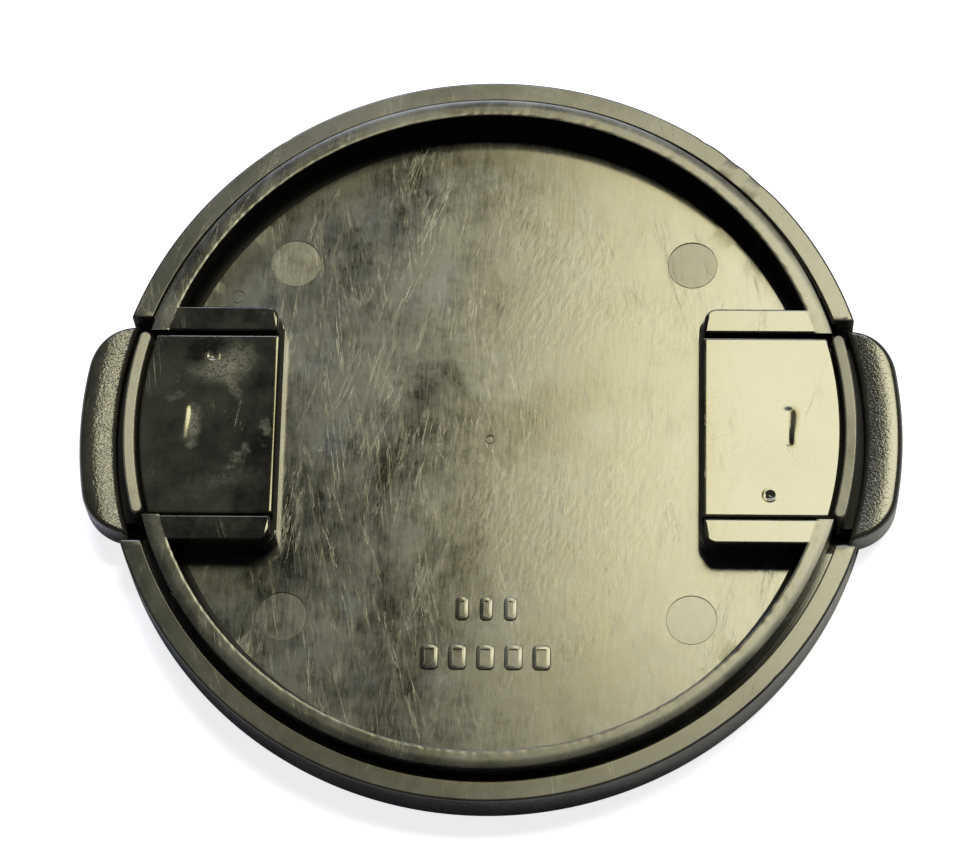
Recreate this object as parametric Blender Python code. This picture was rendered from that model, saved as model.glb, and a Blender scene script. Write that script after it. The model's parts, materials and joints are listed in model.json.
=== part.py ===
"""Pinch-tab lens cap for a 58 mm filter thread, with two sprung tabs.

The cap lies on its front face. The origin is the centre of that face, +Z points to the lens
and the tabs slide along X. The right tab points along +X, and the left tab is the same moulding
turned by half a turn about Z.
"""
import math

import bmesh
import bpy
from mathutils import Matrix, Vector

MM = 0.001

# Heights above the front face.
FRONT_RECESS = 0.25 * MM
SHELL_FLOOR_TOP = 1.1 * MM
BODY_UNDERSIDE = 1.4 * MM
BODY_FLOOR_TOP = 2.6 * MM
FLANGE_TOP = 4.58 * MM
RING_TOP = 6.0 * MM

# Front shell.
SHELL_RADIUS = 30.5 * MM
SHELL_BORE = 29.19 * MM
SHELL_FRONT_ROUND = 0.5 * MM
SHELL_TOP_ROUND = 0.45 * MM
FRONT_RIM_RADIUS = 26.0 * MM

# Back body: floor disc, spigot ring and the two slider housings.
BODY_RADIUS = 28.9 * MM
RING_RADIUS = 28.25 * MM
RING_BORE = 26.86 * MM
RING_EDGE = 0.15 * MM
HOUSING_HALF_WIDTH = 9.9 * MM
HOUSING_INNER_END = 16.6 * MM
HOUSING_OUTER_END = 26.2 * MM
HOUSING_CORNER = 1.0 * MM
CHANNEL_HALF_WIDTH = 7.84 * MM
END_WALL = 0.9 * MM
END_WALL_TOP = 4.5 * MM
POCKET_HALF_WIDTH = 9.1 * MM
POCKET_TOP = 2.5 * MM
POCKET_START = 17.2 * MM
POCKET_END = 24.3 * MM

# Pinch tab.
TAB_UNDERSIDE = BODY_UNDERSIDE
SLIDER_HALF_WIDTH = 7.6 * MM
PLATE_INNER_END = 16.85 * MM
PLATE_OUTER_RADIUS = 27.75 * MM
PLATE_UNDERSIDE = 4.8 * MM
PLATE_TOP = 5.65 * MM
SIDE_WALL = 1.2 * MM
SIDE_WALL_START = 19.2 * MM
SPRING_WALL_START = 25.3 * MM
KEEPER_HALF_WIDTH = 8.8 * MM
KEEPER_TOP = 2.2 * MM
KEEPER_END = 24.0 * MM
NECK_TOP = 3.1 * MM
RIB_INNER_RADIUS = 28.3 * MM
RIB_OUTER_RADIUS = 28.9 * MM
RIB_HALF_WIDTH = 7.7 * MM
RIB_TOP_ROUND = 0.15 * MM
GRIP_INNER_RADIUS = 29.9 * MM
GRIP_OUTER_RADIUS = 32.7 * MM
GRIP_HALF_WIDTH = 9.2 * MM
GRIP_CORNER = 3.0 * MM
GRIP_TOP_ROUND = 0.7 * MM

# Return springs.
SPRING_RADIUS = 1.12 * MM
SPRING_WIRE = 0.175 * MM
SPRING_TURNS = 8
SPRING_OFFSET = 3.9 * MM
SPRING_HEIGHT = 2.95 * MM
SPRING_SEAT_GAP = 0.15 * MM
CLOSED_PITCH = 0.4 * MM
POST_RADIUS = 0.55 * MM
POST_LENGTH = 1.4 * MM

CLEARANCE = 0.3 * MM
OVERSHOOT = 3.0 * MM
FLAT_TOLERANCE = 0.001 * MM
MERGE_DISTANCE = 0.0005 * MM

# Fineness of the round shapes.
ROUND_STEPS = 72
BAND_STEPS = 8
EDGE_STEPS = 3
HOUSING_CORNER_STEPS = 4
GRIP_CORNER_STEPS = 5
RIB_END_STEPS = 4
POST_SIDES = 12
COIL_STEPS = 14
WIRE_SIDES = 6

BLACK_PLASTIC = ((0.022, 0.022, 0.019, 1.0), 0.38, 0.0)
SPRING_STEEL = ((0.42, 0.42, 0.42, 1.0), 0.3, 1.0)


def clear_scene():
    """Removes every object that the file opened with."""
    for item in list(bpy.data.objects):
        bpy.data.objects.remove(item, do_unlink=True)


def make_material(name, finish):
    """Returns a Principled material with one colour, roughness and metallic value."""
    colour, roughness, metallic = finish
    material = bpy.data.materials.new(name)
    material.use_nodes = True
    shader = material.node_tree.nodes["Principled BSDF"]
    shader.inputs["Base Color"].default_value = colour
    shader.inputs["Roughness"].default_value = roughness
    shader.inputs["Metallic"].default_value = metallic
    return material


def add_object(name, mesh_builder, finish, parent=None):
    """Turns a finished bmesh into a named object with its own material."""
    bmesh.ops.recalc_face_normals(mesh_builder, faces=mesh_builder.faces)
    mesh = bpy.data.meshes.new(name)
    mesh_builder.to_mesh(mesh)
    mesh_builder.free()
    mesh.materials.append(make_material(name, finish))
    item = bpy.data.objects.new(name, mesh)
    item.parent = parent
    bpy.context.collection.objects.link(item)
    return item


def add_tool(name, mesh_builder, parent=None):
    """Adds a hidden solid that only shapes another object."""
    tool = add_object(name, mesh_builder, BLACK_PLASTIC, parent)
    tool.hide_render = True
    tool.display_type = "WIRE"
    return tool


def combine(target, tool, operation):
    """Joins a tool to a target, or cuts the target with it."""
    modifier = target.modifiers.new(tool.name, "BOOLEAN")
    modifier.operation = operation
    modifier.solver = "EXACT"
    modifier.object = tool


def shade_round(item, limit_degrees=35.0):
    """Shades curved walls smooth and keeps the edges between walls sharp."""
    item.data.shade_smooth()
    item.data.set_sharp_from_angle(angle=math.radians(limit_degrees))


def arc(centre, radius, start_degrees, end_degrees, steps):
    """Returns the points of an arc in a plane, both ends included."""
    points = []
    for step in range(steps + 1):
        angle = math.radians(start_degrees + (end_degrees - start_degrees) * step / steps)
        points.append((centre[0] + radius * math.cos(angle), centre[1] + radius * math.sin(angle)))
    return points


def band_arc(radius, half_width, steps):
    """Returns an arc about the cap's axis that spans a width across Y, from -Y to +Y."""
    half_angle = math.degrees(math.asin(half_width / radius))
    return arc((0.0, 0.0), radius, -half_angle, half_angle, steps)


def rectangle(x_low, x_high, y_low, y_high):
    """Returns a rectangle's corners, anticlockwise."""
    return [(x_low, y_low), (x_high, y_low), (x_high, y_high), (x_low, y_high)]


def prism(outline, low, high):
    """Extrudes an outline in X and Y from one height to another."""
    builder = bmesh.new()
    corners = [builder.verts.new((x, y, low)) for x, y in outline]
    base = builder.faces.new(corners)
    grown = bmesh.ops.extrude_face_region(builder, geom=[base])
    lifted = [part for part in grown["geom"] if isinstance(part, bmesh.types.BMVert)]
    bmesh.ops.translate(builder, verts=lifted, vec=(0.0, 0.0, high - low))
    return builder


def round_edges(builder, edges, width, segments):
    """Rounds the given edges of a builder."""
    bmesh.ops.bevel(
        builder, geom=edges, offset=width, segments=segments, profile=0.5, affect="EDGES"
    )


def edges_at(builder, height):
    """Returns the edges that lie flat at one height."""
    chosen = []
    for edge in builder.edges:
        if all(abs(corner.co.z - height) < FLAT_TOLERANCE for corner in edge.verts):
            chosen.append(edge)
    return chosen


def turned(profile):
    """Spins a closed profile of radius and height about the Z axis."""
    builder = bmesh.new()
    points = [builder.verts.new((radius, 0.0, height)) for radius, height in profile]
    edges = []
    for index, point in enumerate(points):
        edges.append(builder.edges.new((point, points[(index + 1) % len(points)])))
    bmesh.ops.spin(
        builder,
        geom=points + edges,
        cent=(0.0, 0.0, 0.0),
        axis=(0.0, 0.0, 1.0),
        angle=math.tau,
        steps=ROUND_STEPS,
        use_duplicate=False,
    )
    bmesh.ops.remove_doubles(builder, verts=builder.verts, dist=MERGE_DISTANCE)
    axis_edges = [
        edge for edge in builder.edges if all(end.co.xy.length < FLAT_TOLERANCE for end in edge.verts)
    ]
    bmesh.ops.delete(builder, geom=axis_edges, context="EDGES")
    return builder


def rod_along_x(start, end, radius, offset, height):
    """Returns a round rod that lies along X."""
    builder = bmesh.new()
    place = Matrix.Translation((0.5 * (start + end), offset, height))
    turn = Matrix.Rotation(math.pi / 2, 4, "Y")
    bmesh.ops.create_cone(
        builder,
        cap_ends=True,
        segments=POST_SIDES,
        radius1=radius,
        radius2=radius,
        depth=end - start,
        matrix=place @ turn,
    )
    return builder


def add_side(name, turn_degrees):
    """Adds the empty that carries one side's pieces: its X axis is the tab's sliding axis."""
    side = bpy.data.objects.new(name, None)
    side.rotation_euler = (0.0, 0.0, math.radians(turn_degrees))
    bpy.context.collection.objects.link(side)
    return side


def build_front_shell(sides):
    """The outer shell: a shallow cup whose rim is the flange that meets the lens."""
    front = arc(
        (SHELL_RADIUS - SHELL_FRONT_ROUND, SHELL_FRONT_ROUND),
        SHELL_FRONT_ROUND,
        -90.0,
        0.0,
        EDGE_STEPS,
    )
    top = arc(
        (SHELL_RADIUS - SHELL_TOP_ROUND, FLANGE_TOP - SHELL_TOP_ROUND),
        SHELL_TOP_ROUND,
        0.0,
        90.0,
        EDGE_STEPS,
    )
    profile = [(0.0, FRONT_RECESS), (FRONT_RIM_RADIUS, FRONT_RECESS)]
    profile.append((FRONT_RIM_RADIUS + FRONT_RECESS, 0.0))
    profile += front + top
    profile += [(SHELL_BORE, FLANGE_TOP), (SHELL_BORE, SHELL_FLOOR_TOP), (0.0, SHELL_FLOOR_TOP)]
    shell = add_object("front_shell", turned(profile), BLACK_PLASTIC)
    slot_half_width = GRIP_HALF_WIDTH + CLEARANCE
    for label, side in sides:
        slot = rectangle(RING_BORE, SHELL_RADIUS + OVERSHOOT, -slot_half_width, slot_half_width)
        tool = add_tool(f"cut_slot_{label}", prism(slot, SHELL_FLOOR_TOP, RING_TOP), side)
        combine(shell, tool, "DIFFERENCE")
    shade_round(shell)
    return shell


def housing_outline():
    """The plan of a slider housing, with rounded corners at its inner end."""
    left = HOUSING_INNER_END + HOUSING_CORNER
    upper = HOUSING_HALF_WIDTH - HOUSING_CORNER
    outline = [(HOUSING_OUTER_END, -HOUSING_HALF_WIDTH), (HOUSING_OUTER_END, HOUSING_HALF_WIDTH)]
    outline += arc((left, upper), HOUSING_CORNER, 90.0, 180.0, HOUSING_CORNER_STEPS)
    outline += arc((left, -upper), HOUSING_CORNER, 180.0, 270.0, HOUSING_CORNER_STEPS)
    return outline


def build_back_body(sides):
    """The inner moulding: floor, spigot ring and a housing on each side for a tab."""
    profile = [(0.0, BODY_UNDERSIDE), (BODY_RADIUS, BODY_UNDERSIDE), (BODY_RADIUS, BODY_FLOOR_TOP)]
    profile += [(RING_RADIUS, BODY_FLOOR_TOP), (RING_RADIUS, RING_TOP - RING_EDGE)]
    profile += [(RING_RADIUS - RING_EDGE, RING_TOP), (RING_BORE, RING_TOP)]
    profile += [(RING_BORE, BODY_FLOOR_TOP), (0.0, BODY_FLOOR_TOP)]
    body = add_object("back_body", turned(profile), BLACK_PLASTIC)
    window_start = HOUSING_INNER_END + END_WALL
    far_end = SHELL_RADIUS + OVERSHOOT
    low = BODY_UNDERSIDE - OVERSHOOT
    high = RING_TOP + OVERSHOOT
    slot_half_width = GRIP_HALF_WIDTH + CLEARANCE
    for label, side in sides:
        housing = prism(housing_outline(), 0.5 * (BODY_UNDERSIDE + BODY_FLOOR_TOP), RING_TOP)
        combine(body, add_tool(f"join_housing_{label}", housing, side), "UNION")
        cuts = {
            "window": prism(
                rectangle(window_start, far_end, -CHANNEL_HALF_WIDTH, CHANNEL_HALF_WIDTH), low, high
            ),
            "end_wall": prism(
                rectangle(
                    HOUSING_INNER_END - OVERSHOOT,
                    window_start + OVERSHOOT,
                    -CHANNEL_HALF_WIDTH,
                    CHANNEL_HALF_WIDTH,
                ),
                END_WALL_TOP,
                high,
            ),
            "lip": prism(
                rectangle(HOUSING_OUTER_END, far_end, -slot_half_width, slot_half_width),
                low,
                BODY_FLOOR_TOP + CLEARANCE,
            ),
        }
        for hand, sign in (("upper", 1.0), ("lower", -1.0)):
            near = sign * (CHANNEL_HALF_WIDTH - SIDE_WALL)
            far = sign * POCKET_HALF_WIDTH
            pocket = rectangle(POCKET_START, POCKET_END, min(near, far), max(near, far))
            cuts[f"pocket_{hand}"] = prism(pocket, low, POCKET_TOP)
        for cut_name, builder in cuts.items():
            combine(body, add_tool(f"cut_{cut_name}_{label}", builder, side), "DIFFERENCE")
        for hand, sign in (("upper", 1.0), ("lower", -1.0)):
            post = rod_along_x(
                window_start - 0.5 * END_WALL,
                window_start + POST_LENGTH,
                POST_RADIUS,
                sign * SPRING_OFFSET,
                SPRING_HEIGHT,
            )
            combine(body, add_tool(f"join_post_{hand}_{label}", post, side), "UNION")
    shade_round(body)
    return body


def plate_outline():
    """The slider plate: straight at its inner end, an arc about the cap's axis at its outer end."""
    outline = [(PLATE_INNER_END, -SLIDER_HALF_WIDTH)]
    outline += band_arc(PLATE_OUTER_RADIUS, SLIDER_HALF_WIDTH, BAND_STEPS)
    outline.append((PLATE_INNER_END, SLIDER_HALF_WIDTH))
    return outline


def carrier_outline():
    """The three walls under the plate: two side walls and the wall that the springs push on."""
    inner = SLIDER_HALF_WIDTH - SIDE_WALL
    outer_end = SPRING_WALL_START + SIDE_WALL
    return [
        (SIDE_WALL_START, -SLIDER_HALF_WIDTH),
        (outer_end, -SLIDER_HALF_WIDTH),
        (outer_end, SLIDER_HALF_WIDTH),
        (SIDE_WALL_START, SLIDER_HALF_WIDTH),
        (SIDE_WALL_START, inner),
        (SPRING_WALL_START, inner),
        (SPRING_WALL_START, -inner),
        (SIDE_WALL_START, -inner),
    ]


def rib_outline():
    """The catch rib that grips the lens thread: a thin arc with rounded ends."""
    middle = 0.5 * (RIB_INNER_RADIUS + RIB_OUTER_RADIUS)
    end_radius = 0.5 * (RIB_OUTER_RADIUS - RIB_INNER_RADIUS)
    half_angle = math.asin((RIB_HALF_WIDTH - end_radius) / middle)
    degrees = math.degrees(half_angle)
    end_centre = (middle * math.cos(half_angle), middle * math.sin(half_angle))
    mirrored = (end_centre[0], -end_centre[1])
    outline = arc((0.0, 0.0), RIB_OUTER_RADIUS, -degrees, degrees, BAND_STEPS)
    outline += arc(end_centre, end_radius, degrees, degrees + 180.0, RIB_END_STEPS)[1:]
    outline += arc((0.0, 0.0), RIB_INNER_RADIUS, degrees, -degrees, BAND_STEPS)[1:]
    outline += arc(mirrored, end_radius, 180.0 - degrees, 360.0 - degrees, RIB_END_STEPS)[1:-1]
    return outline


def grip_outline():
    """The finger grip: concentric arcs inside and outside, joined by round corners."""
    corner_y = GRIP_HALF_WIDTH - GRIP_CORNER
    reach = GRIP_OUTER_RADIUS - GRIP_CORNER
    corner_x = math.sqrt(reach**2 - corner_y**2)
    corner_degrees = math.degrees(math.atan2(corner_y, corner_x))
    outline = arc((corner_x, -corner_y), GRIP_CORNER, -90.0, -corner_degrees, GRIP_CORNER_STEPS)
    outline += arc((0.0, 0.0), GRIP_OUTER_RADIUS, -corner_degrees, corner_degrees, BAND_STEPS)[1:-1]
    outline += arc((corner_x, corner_y), GRIP_CORNER, corner_degrees, 90.0, GRIP_CORNER_STEPS)
    outline += list(reversed(band_arc(GRIP_INNER_RADIUS, GRIP_HALF_WIDTH, BAND_STEPS)))
    return outline


def build_tab(name, label, side):
    """One pinch tab: slider plate, spring carrier, neck, catch rib and finger grip in one piece."""
    tab = add_object(name, prism(plate_outline(), PLATE_UNDERSIDE, PLATE_TOP), BLACK_PLASTIC, side)
    inner = SLIDER_HALF_WIDTH - SIDE_WALL
    joins = {
        "carrier": prism(
            carrier_outline(), TAB_UNDERSIDE, 0.5 * (PLATE_UNDERSIDE + PLATE_TOP)
        ),
        "neck": prism(
            rectangle(
                SPRING_WALL_START + 0.5 * SIDE_WALL,
                GRIP_INNER_RADIUS + SIDE_WALL,
                -SLIDER_HALF_WIDTH,
                SLIDER_HALF_WIDTH,
            ),
            TAB_UNDERSIDE,
            NECK_TOP,
        ),
        "rib": prism(rib_outline(), 0.5 * (TAB_UNDERSIDE + NECK_TOP), RING_TOP),
    }
    round_edges(joins["rib"], edges_at(joins["rib"], RING_TOP), RIB_TOP_ROUND, 1)
    grip = prism(grip_outline(), TAB_UNDERSIDE, FLANGE_TOP)
    round_edges(grip, edges_at(grip, FLANGE_TOP), GRIP_TOP_ROUND, EDGE_STEPS)
    joins["grip"] = grip
    for hand, sign in (("upper", 1.0), ("lower", -1.0)):
        near = sign * inner
        far = sign * KEEPER_HALF_WIDTH
        keeper = rectangle(SIDE_WALL_START, KEEPER_END, min(near, far), max(near, far))
        joins[f"keeper_{hand}"] = prism(keeper, TAB_UNDERSIDE, KEEPER_TOP)
        joins[f"post_{hand}"] = rod_along_x(
            SPRING_WALL_START - POST_LENGTH,
            SPRING_WALL_START + 0.5 * SIDE_WALL,
            POST_RADIUS,
            sign * SPRING_OFFSET,
            SPRING_HEIGHT,
        )
    for part_name, builder in joins.items():
        combine(tab, add_tool(f"join_{part_name}_of_{label}", builder, side), "UNION")
    shade_round(tab)
    return tab


def spring_advance(turns, length):
    """How far along its axis a spring has gone after some turns: its two end turns are closed."""
    open_pitch = (length - 2.0 * CLOSED_PITCH) / (SPRING_TURNS - 2)
    open_turns = min(max(turns - 1.0, 0.0), SPRING_TURNS - 2.0)
    return (turns - open_turns) * CLOSED_PITCH + open_turns * open_pitch


def build_spring(name, side, offset):
    """A coil spring along X between the housing's end wall and the tab's spring wall."""
    start = HOUSING_INNER_END + END_WALL + SPRING_SEAT_GAP + SPRING_WIRE
    length = SPRING_WALL_START - SPRING_SEAT_GAP - SPRING_WIRE - start
    builder = bmesh.new()
    loops = []
    for step in range(SPRING_TURNS * COIL_STEPS + 1):
        turns = step / COIL_STEPS
        angle = math.tau * turns
        outward = Vector((0.0, math.cos(angle), math.sin(angle)))
        centre = Vector((start + spring_advance(turns, length), offset, SPRING_HEIGHT))
        centre += outward * SPRING_RADIUS
        loop = []
        for corner in range(WIRE_SIDES):
            around = math.tau * corner / WIRE_SIDES
            spoke = outward * math.cos(around) + Vector((math.sin(around), 0.0, 0.0))
            loop.append(builder.verts.new(centre + spoke * SPRING_WIRE))
        loops.append(loop)
    for first, second in zip(loops, loops[1:]):
        for corner in range(WIRE_SIDES):
            following = (corner + 1) % WIRE_SIDES
            builder.faces.new((first[corner], first[following], second[following], second[corner]))
    builder.faces.new(loops[0])
    builder.faces.new(list(reversed(loops[-1])))
    spring = add_object(name, builder, SPRING_STEEL, side)
    spring.data.shade_smooth()
    return spring


def main():
    clear_scene()
    right = add_side("right_slide_axis", 0.0)
    left = add_side("left_slide_axis", 180.0)
    bpy.context.view_layer.update()
    sides = (("right", right), ("left", left))
    build_front_shell(sides)
    build_back_body(sides)
    for label, side in sides:
        build_tab(f"{label}_tab", label, side)
        upper_sign = 1.0 if label == "right" else -1.0
        build_spring(f"{label}_tab_upper_spring", side, upper_sign * SPRING_OFFSET)
        build_spring(f"{label}_tab_lower_spring", side, -upper_sign * SPRING_OFFSET)


main()
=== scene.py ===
import json
import logging
import math
from collections.abc import Callable, Iterable, Sequence
from dataclasses import dataclass, field, replace
from enum import Enum

import bmesh
import bpy
import numpy as np
from mathutils import Matrix, Vector, noise


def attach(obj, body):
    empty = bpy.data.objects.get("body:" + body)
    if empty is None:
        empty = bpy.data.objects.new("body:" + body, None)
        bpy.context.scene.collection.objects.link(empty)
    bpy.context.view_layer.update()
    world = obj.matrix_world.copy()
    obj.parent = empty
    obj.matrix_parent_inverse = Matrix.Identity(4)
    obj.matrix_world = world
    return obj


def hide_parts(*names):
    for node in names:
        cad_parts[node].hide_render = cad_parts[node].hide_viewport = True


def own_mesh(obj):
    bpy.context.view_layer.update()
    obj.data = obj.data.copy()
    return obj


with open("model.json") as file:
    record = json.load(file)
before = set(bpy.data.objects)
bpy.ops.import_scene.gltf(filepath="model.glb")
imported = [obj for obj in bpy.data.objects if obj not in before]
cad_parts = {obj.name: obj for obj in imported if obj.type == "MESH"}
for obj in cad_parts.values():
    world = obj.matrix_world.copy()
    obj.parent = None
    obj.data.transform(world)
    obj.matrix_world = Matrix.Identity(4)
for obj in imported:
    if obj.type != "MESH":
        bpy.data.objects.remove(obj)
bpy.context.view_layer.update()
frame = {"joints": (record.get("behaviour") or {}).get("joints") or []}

LOG = logging.getLogger("lens_cap")
MM = 0.001

# Sizes that more than one piece shares.
SLOT_HALF_WIDTH = 9.5 * MM
UNDERSIDE = 1.4 * MM
FLANGE_TOP = 4.58 * MM
SPRING_OFFSET = 3.9 * MM
SPRING_HEIGHT = 2.95 * MM
BEYOND = 34.0 * MM

Point2 = tuple[float, float]
Colour = tuple[float, float, float, float]


class Side(Enum):
    """The two sides of the cap that carry a pinch tab, with the turn that places each."""

    RIGHT = 0.0
    LEFT = 180.0

    @property
    def label(self) -> str:
        """The side's name in lower case, as the CAD nodes use it."""
        return self.name.lower()

    @property
    def turn(self) -> Matrix:
        """The rotation about Z from the right side to this one."""
        return Matrix.Rotation(math.radians(self.value), 4, "Z")


class Join(Enum):
    """How one solid changes another."""

    ADD = "UNION"
    CUT = "DIFFERENCE"


# ---------------------------------------------------------------------------------------------
# Shape tools
# ---------------------------------------------------------------------------------------------


def arc(centre: Point2, radius: float, start: float, end: float, steps: int) -> list[Point2]:
    """Points along an arc, both ends included.

    Args:
        centre: The arc's centre in its own plane.
        radius: The arc's radius.
        start: The first point's angle in degrees.
        end: The last point's angle in degrees.
        steps: How many straight pieces the arc has.

    Returns:
        The points in order.
    """
    angles = np.radians(np.linspace(start, end, steps + 1))
    return [(centre[0] + radius * math.cos(a), centre[1] + radius * math.sin(a)) for a in angles]


def rounded_outline(corners: Sequence[tuple[float, float, float]], steps: int = 6) -> list[Point2]:
    """Rounds the corners of a polygon.

    Args:
        corners: The corner points, anticlockwise, each with its rounding radius.
        steps: How many straight pieces one rounded corner has.

    Returns:
        The outline with an arc at every corner whose radius is above zero.
    """
    outline: list[Point2] = []
    for index, (x, y, radius) in enumerate(corners):
        here = Vector((x, y))
        if radius <= 0.0:
            outline.append((x, y))
            continue
        back = (Vector(corners[index - 1][:2]) - here).normalized()
        ahead = (Vector(corners[(index + 1) % len(corners)][:2]) - here).normalized()
        opening = back.angle(ahead)
        reach = radius / math.tan(0.5 * opening)
        centre = here + (back + ahead).normalized() * (radius / math.sin(0.5 * opening))
        first = here + back * reach - centre
        last = here + ahead * reach - centre
        start = math.degrees(math.atan2(first.y, first.x))
        sweep = (math.degrees(math.atan2(last.y, last.x)) - start + 180.0) % 360.0 - 180.0
        outline += arc((centre.x, centre.y), radius, start, start + sweep, steps)
    return outline


def box_outline(low: Point2, high: Point2, radius: float = 0.0) -> list[Point2]:
    """A rectangle's outline with all four corners rounded alike."""
    corners = [(low[0], low[1]), (high[0], low[1]), (high[0], high[1]), (low[0], high[1])]
    return rounded_outline([(x, y, radius) for x, y in corners])


def mirrored_box(x_range: Point2, y_range: Point2, sign: float, radius: float = 0.0) -> list[Point2]:
    """A rectangle's outline on one side of the X axis, for a sign of plus or minus one."""
    near, far = sorted((sign * y_range[0], sign * y_range[1]))
    return box_outline((x_range[0], near), (x_range[1], far), radius)


def edges_near(builder: bmesh.types.BMesh, height: float) -> list[bmesh.types.BMEdge]:
    """The edges of a builder that lie flat at one height."""
    tolerance = 1e-6
    level = [edge for edge in builder.edges if abs(edge.verts[0].co.z - height) < tolerance]
    return [edge for edge in level if abs(edge.verts[1].co.z - height) < tolerance]


def prism(
    outline: Sequence[Point2],
    low: float,
    high: float,
    top_round: float = 0.0,
    segments: int = 3,
) -> bmesh.types.BMesh:
    """Extrudes an outline upwards and rounds its top edge.

    Args:
        outline: The plan, anticlockwise.
        low: The height of the lower face.
        high: The height of the upper face.
        top_round: The radius along the upper edge, or zero for a sharp one.
        segments: How many strips the rounding has.

    Returns:
        A closed builder.
    """
    builder = bmesh.new()
    base = builder.faces.new([builder.verts.new((x, y, low)) for x, y in outline])
    grown = bmesh.ops.extrude_face_region(builder, geom=[base])["geom"]
    lifted = [part for part in grown if isinstance(part, bmesh.types.BMVert)]
    bmesh.ops.translate(builder, verts=lifted, vec=(0.0, 0.0, high - low))
    if top_round > 0.0:
        bmesh.ops.bevel(
            builder,
            geom=edges_near(builder, high),
            offset=top_round,
            segments=segments,
            profile=0.5,
            affect="EDGES",
        )
    return builder


def turned(profile: Sequence[Point2], steps: int) -> bmesh.types.BMesh:
    """Turns a closed profile of radius and height about the Z axis.

    Args:
        profile: The profile's points in order; those at radius zero lie on the axis.
        steps: How many flats one turn has.

    Returns:
        A closed builder.
    """
    builder = bmesh.new()
    loops: list[list[bmesh.types.BMVert]] = []
    angles = np.arange(steps) * math.tau / steps
    for radius, height in profile:
        if radius <= 0.0:
            loops.append([builder.verts.new((0.0, 0.0, height))] * steps)
            continue
        places = [(radius * math.cos(a), radius * math.sin(a), height) for a in angles]
        loops.append([builder.verts.new(place) for place in places])
    for index, loop in enumerate(loops):
        following = loops[(index + 1) % len(loops)]
        if loop[0] is loop[1] and following[0] is following[1]:
            continue
        for step in range(steps):
            after = (step + 1) % steps
            corners = [loop[step], loop[after], following[after], following[step]]
            builder.faces.new(list(dict.fromkeys(corners)))
    return builder


def spring_post(start: float, end: float, sign: float) -> bmesh.types.BMesh:
    """The round post that a return spring sits on.

    Args:
        start: Where the post begins in X.
        end: Where it ends in X.
        sign: The row that it is in, plus one for the upper and minus one for the lower.

    Returns:
        A closed builder.
    """
    builder = bmesh.new()
    centre = Vector((0.5 * (start + end), sign * SPRING_OFFSET, SPRING_HEIGHT))
    lying = Vector((1.0, 0.0, 0.0)).to_track_quat("Z", "Y").to_matrix().to_4x4()
    bmesh.ops.create_cone(
        builder,
        cap_ends=True,
        segments=24,
        radius1=0.55 * MM,
        radius2=0.55 * MM,
        depth=end - start,
        matrix=Matrix.Translation(centre) @ lying,
    )
    return builder


def height_pad(
    inner: Callable[[float], float],
    outer: Callable[[float], float],
    half_width: float,
    bottom: float,
    surface: Callable[[np.ndarray, np.ndarray, np.ndarray], np.ndarray],
    pitch: float,
) -> bmesh.types.BMesh:
    """A closed pad whose top is a fine relief over a plan between two curves.

    Args:
        inner: The plan's inner limit in X at a given Y.
        outer: The plan's outer limit in X at a given Y.
        half_width: The plan's half width in Y.
        bottom: The height of the flat underside.
        surface: Gives the top's height from X, Y and the distance to the plan's edge.
        pitch: The relief's grid pitch.

    Returns:
        A closed builder with vertical walls around the relief.
    """
    crowding = 1.25
    rows = max(8, round(2.0 * half_width / pitch))
    spread = np.sin(np.linspace(-1.0, 1.0, rows + 1) * crowding) / math.sin(crowding)
    y_rows = spread * half_width
    x_low = np.array([inner(float(y)) for y in y_rows])
    x_high = np.array([outer(float(y)) for y in y_rows])
    columns = max(6, round(float((x_high - x_low).max()) / pitch))
    share = np.linspace(0.0, 1.0, columns + 1)
    x = x_low[:, None] + (x_high - x_low)[:, None] * share[None, :]
    y = np.repeat(y_rows[:, None], columns + 1, axis=1)
    rim = np.concatenate(
        [
            np.stack([x[0, :], y[0, :]], 1),
            np.stack([x[1:, -1], y[1:, -1]], 1),
            np.stack([x[-1, -2::-1], y[-1, -2::-1]], 1),
            np.stack([x[-2:0:-1, 0], y[-2:0:-1, 0]], 1),
        ]
    )
    distance = edge_distance(np.stack([x.ravel(), y.ravel()], 1), rim).reshape(x.shape)
    z = surface(x, y, distance)
    builder = bmesh.new()
    places = np.stack([x, y, z], 2)
    grid = [[builder.verts.new(place) for place in row] for row in places]
    for row, following in zip(grid, grid[1:]):
        for c in range(columns):
            builder.faces.new((row[c], row[c + 1], following[c + 1], following[c]))
    border = grid[0][:] + [row[-1] for row in grid[1:]]
    border += grid[-1][-2::-1] + [row[0] for row in grid[-2:0:-1]]
    lower = [builder.verts.new((corner.co.x, corner.co.y, bottom)) for corner in border]
    for index, corner in enumerate(border):
        after = (index + 1) % len(border)
        builder.faces.new((corner, lower[index], lower[after], border[after]))
    builder.faces.new(list(reversed(lower)))
    return builder


def edge_distance(points: np.ndarray, rim: np.ndarray) -> np.ndarray:
    """The distance from each point to the nearest stretch of a closed rim.

    Args:
        points: The points, one in each row.
        rim: The rim's corners in order, one in each row.

    Returns:
        One distance for each point.
    """
    run = np.roll(rim, -1, axis=0) - rim
    length = (run**2).sum(1)
    kept = length > 0
    best = np.full(len(points), np.inf)
    for first, step, square in zip(rim[kept], run[kept], length[kept]):
        share = np.clip(((points - first) @ step) / square, 0.0, 1.0)
        gap = np.hypot(*(points - first - share[:, None] * step).T)
        best = np.minimum(best, gap)
    return best


def rounded_drop(distance: np.ndarray, radius: float) -> np.ndarray:
    """How far a round edge has dropped at each distance from the edge."""
    inside = np.clip(radius - distance, 0.0, radius)
    return radius - np.sqrt(np.maximum(radius**2 - inside**2, 0.0))


def ripple(x: float, y: float, z: float, scale: float) -> float:
    """Smooth noise between about -1 and 1 at a place, for a given feature size."""
    return noise.noise(Vector((x, y, z)) / scale)


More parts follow.
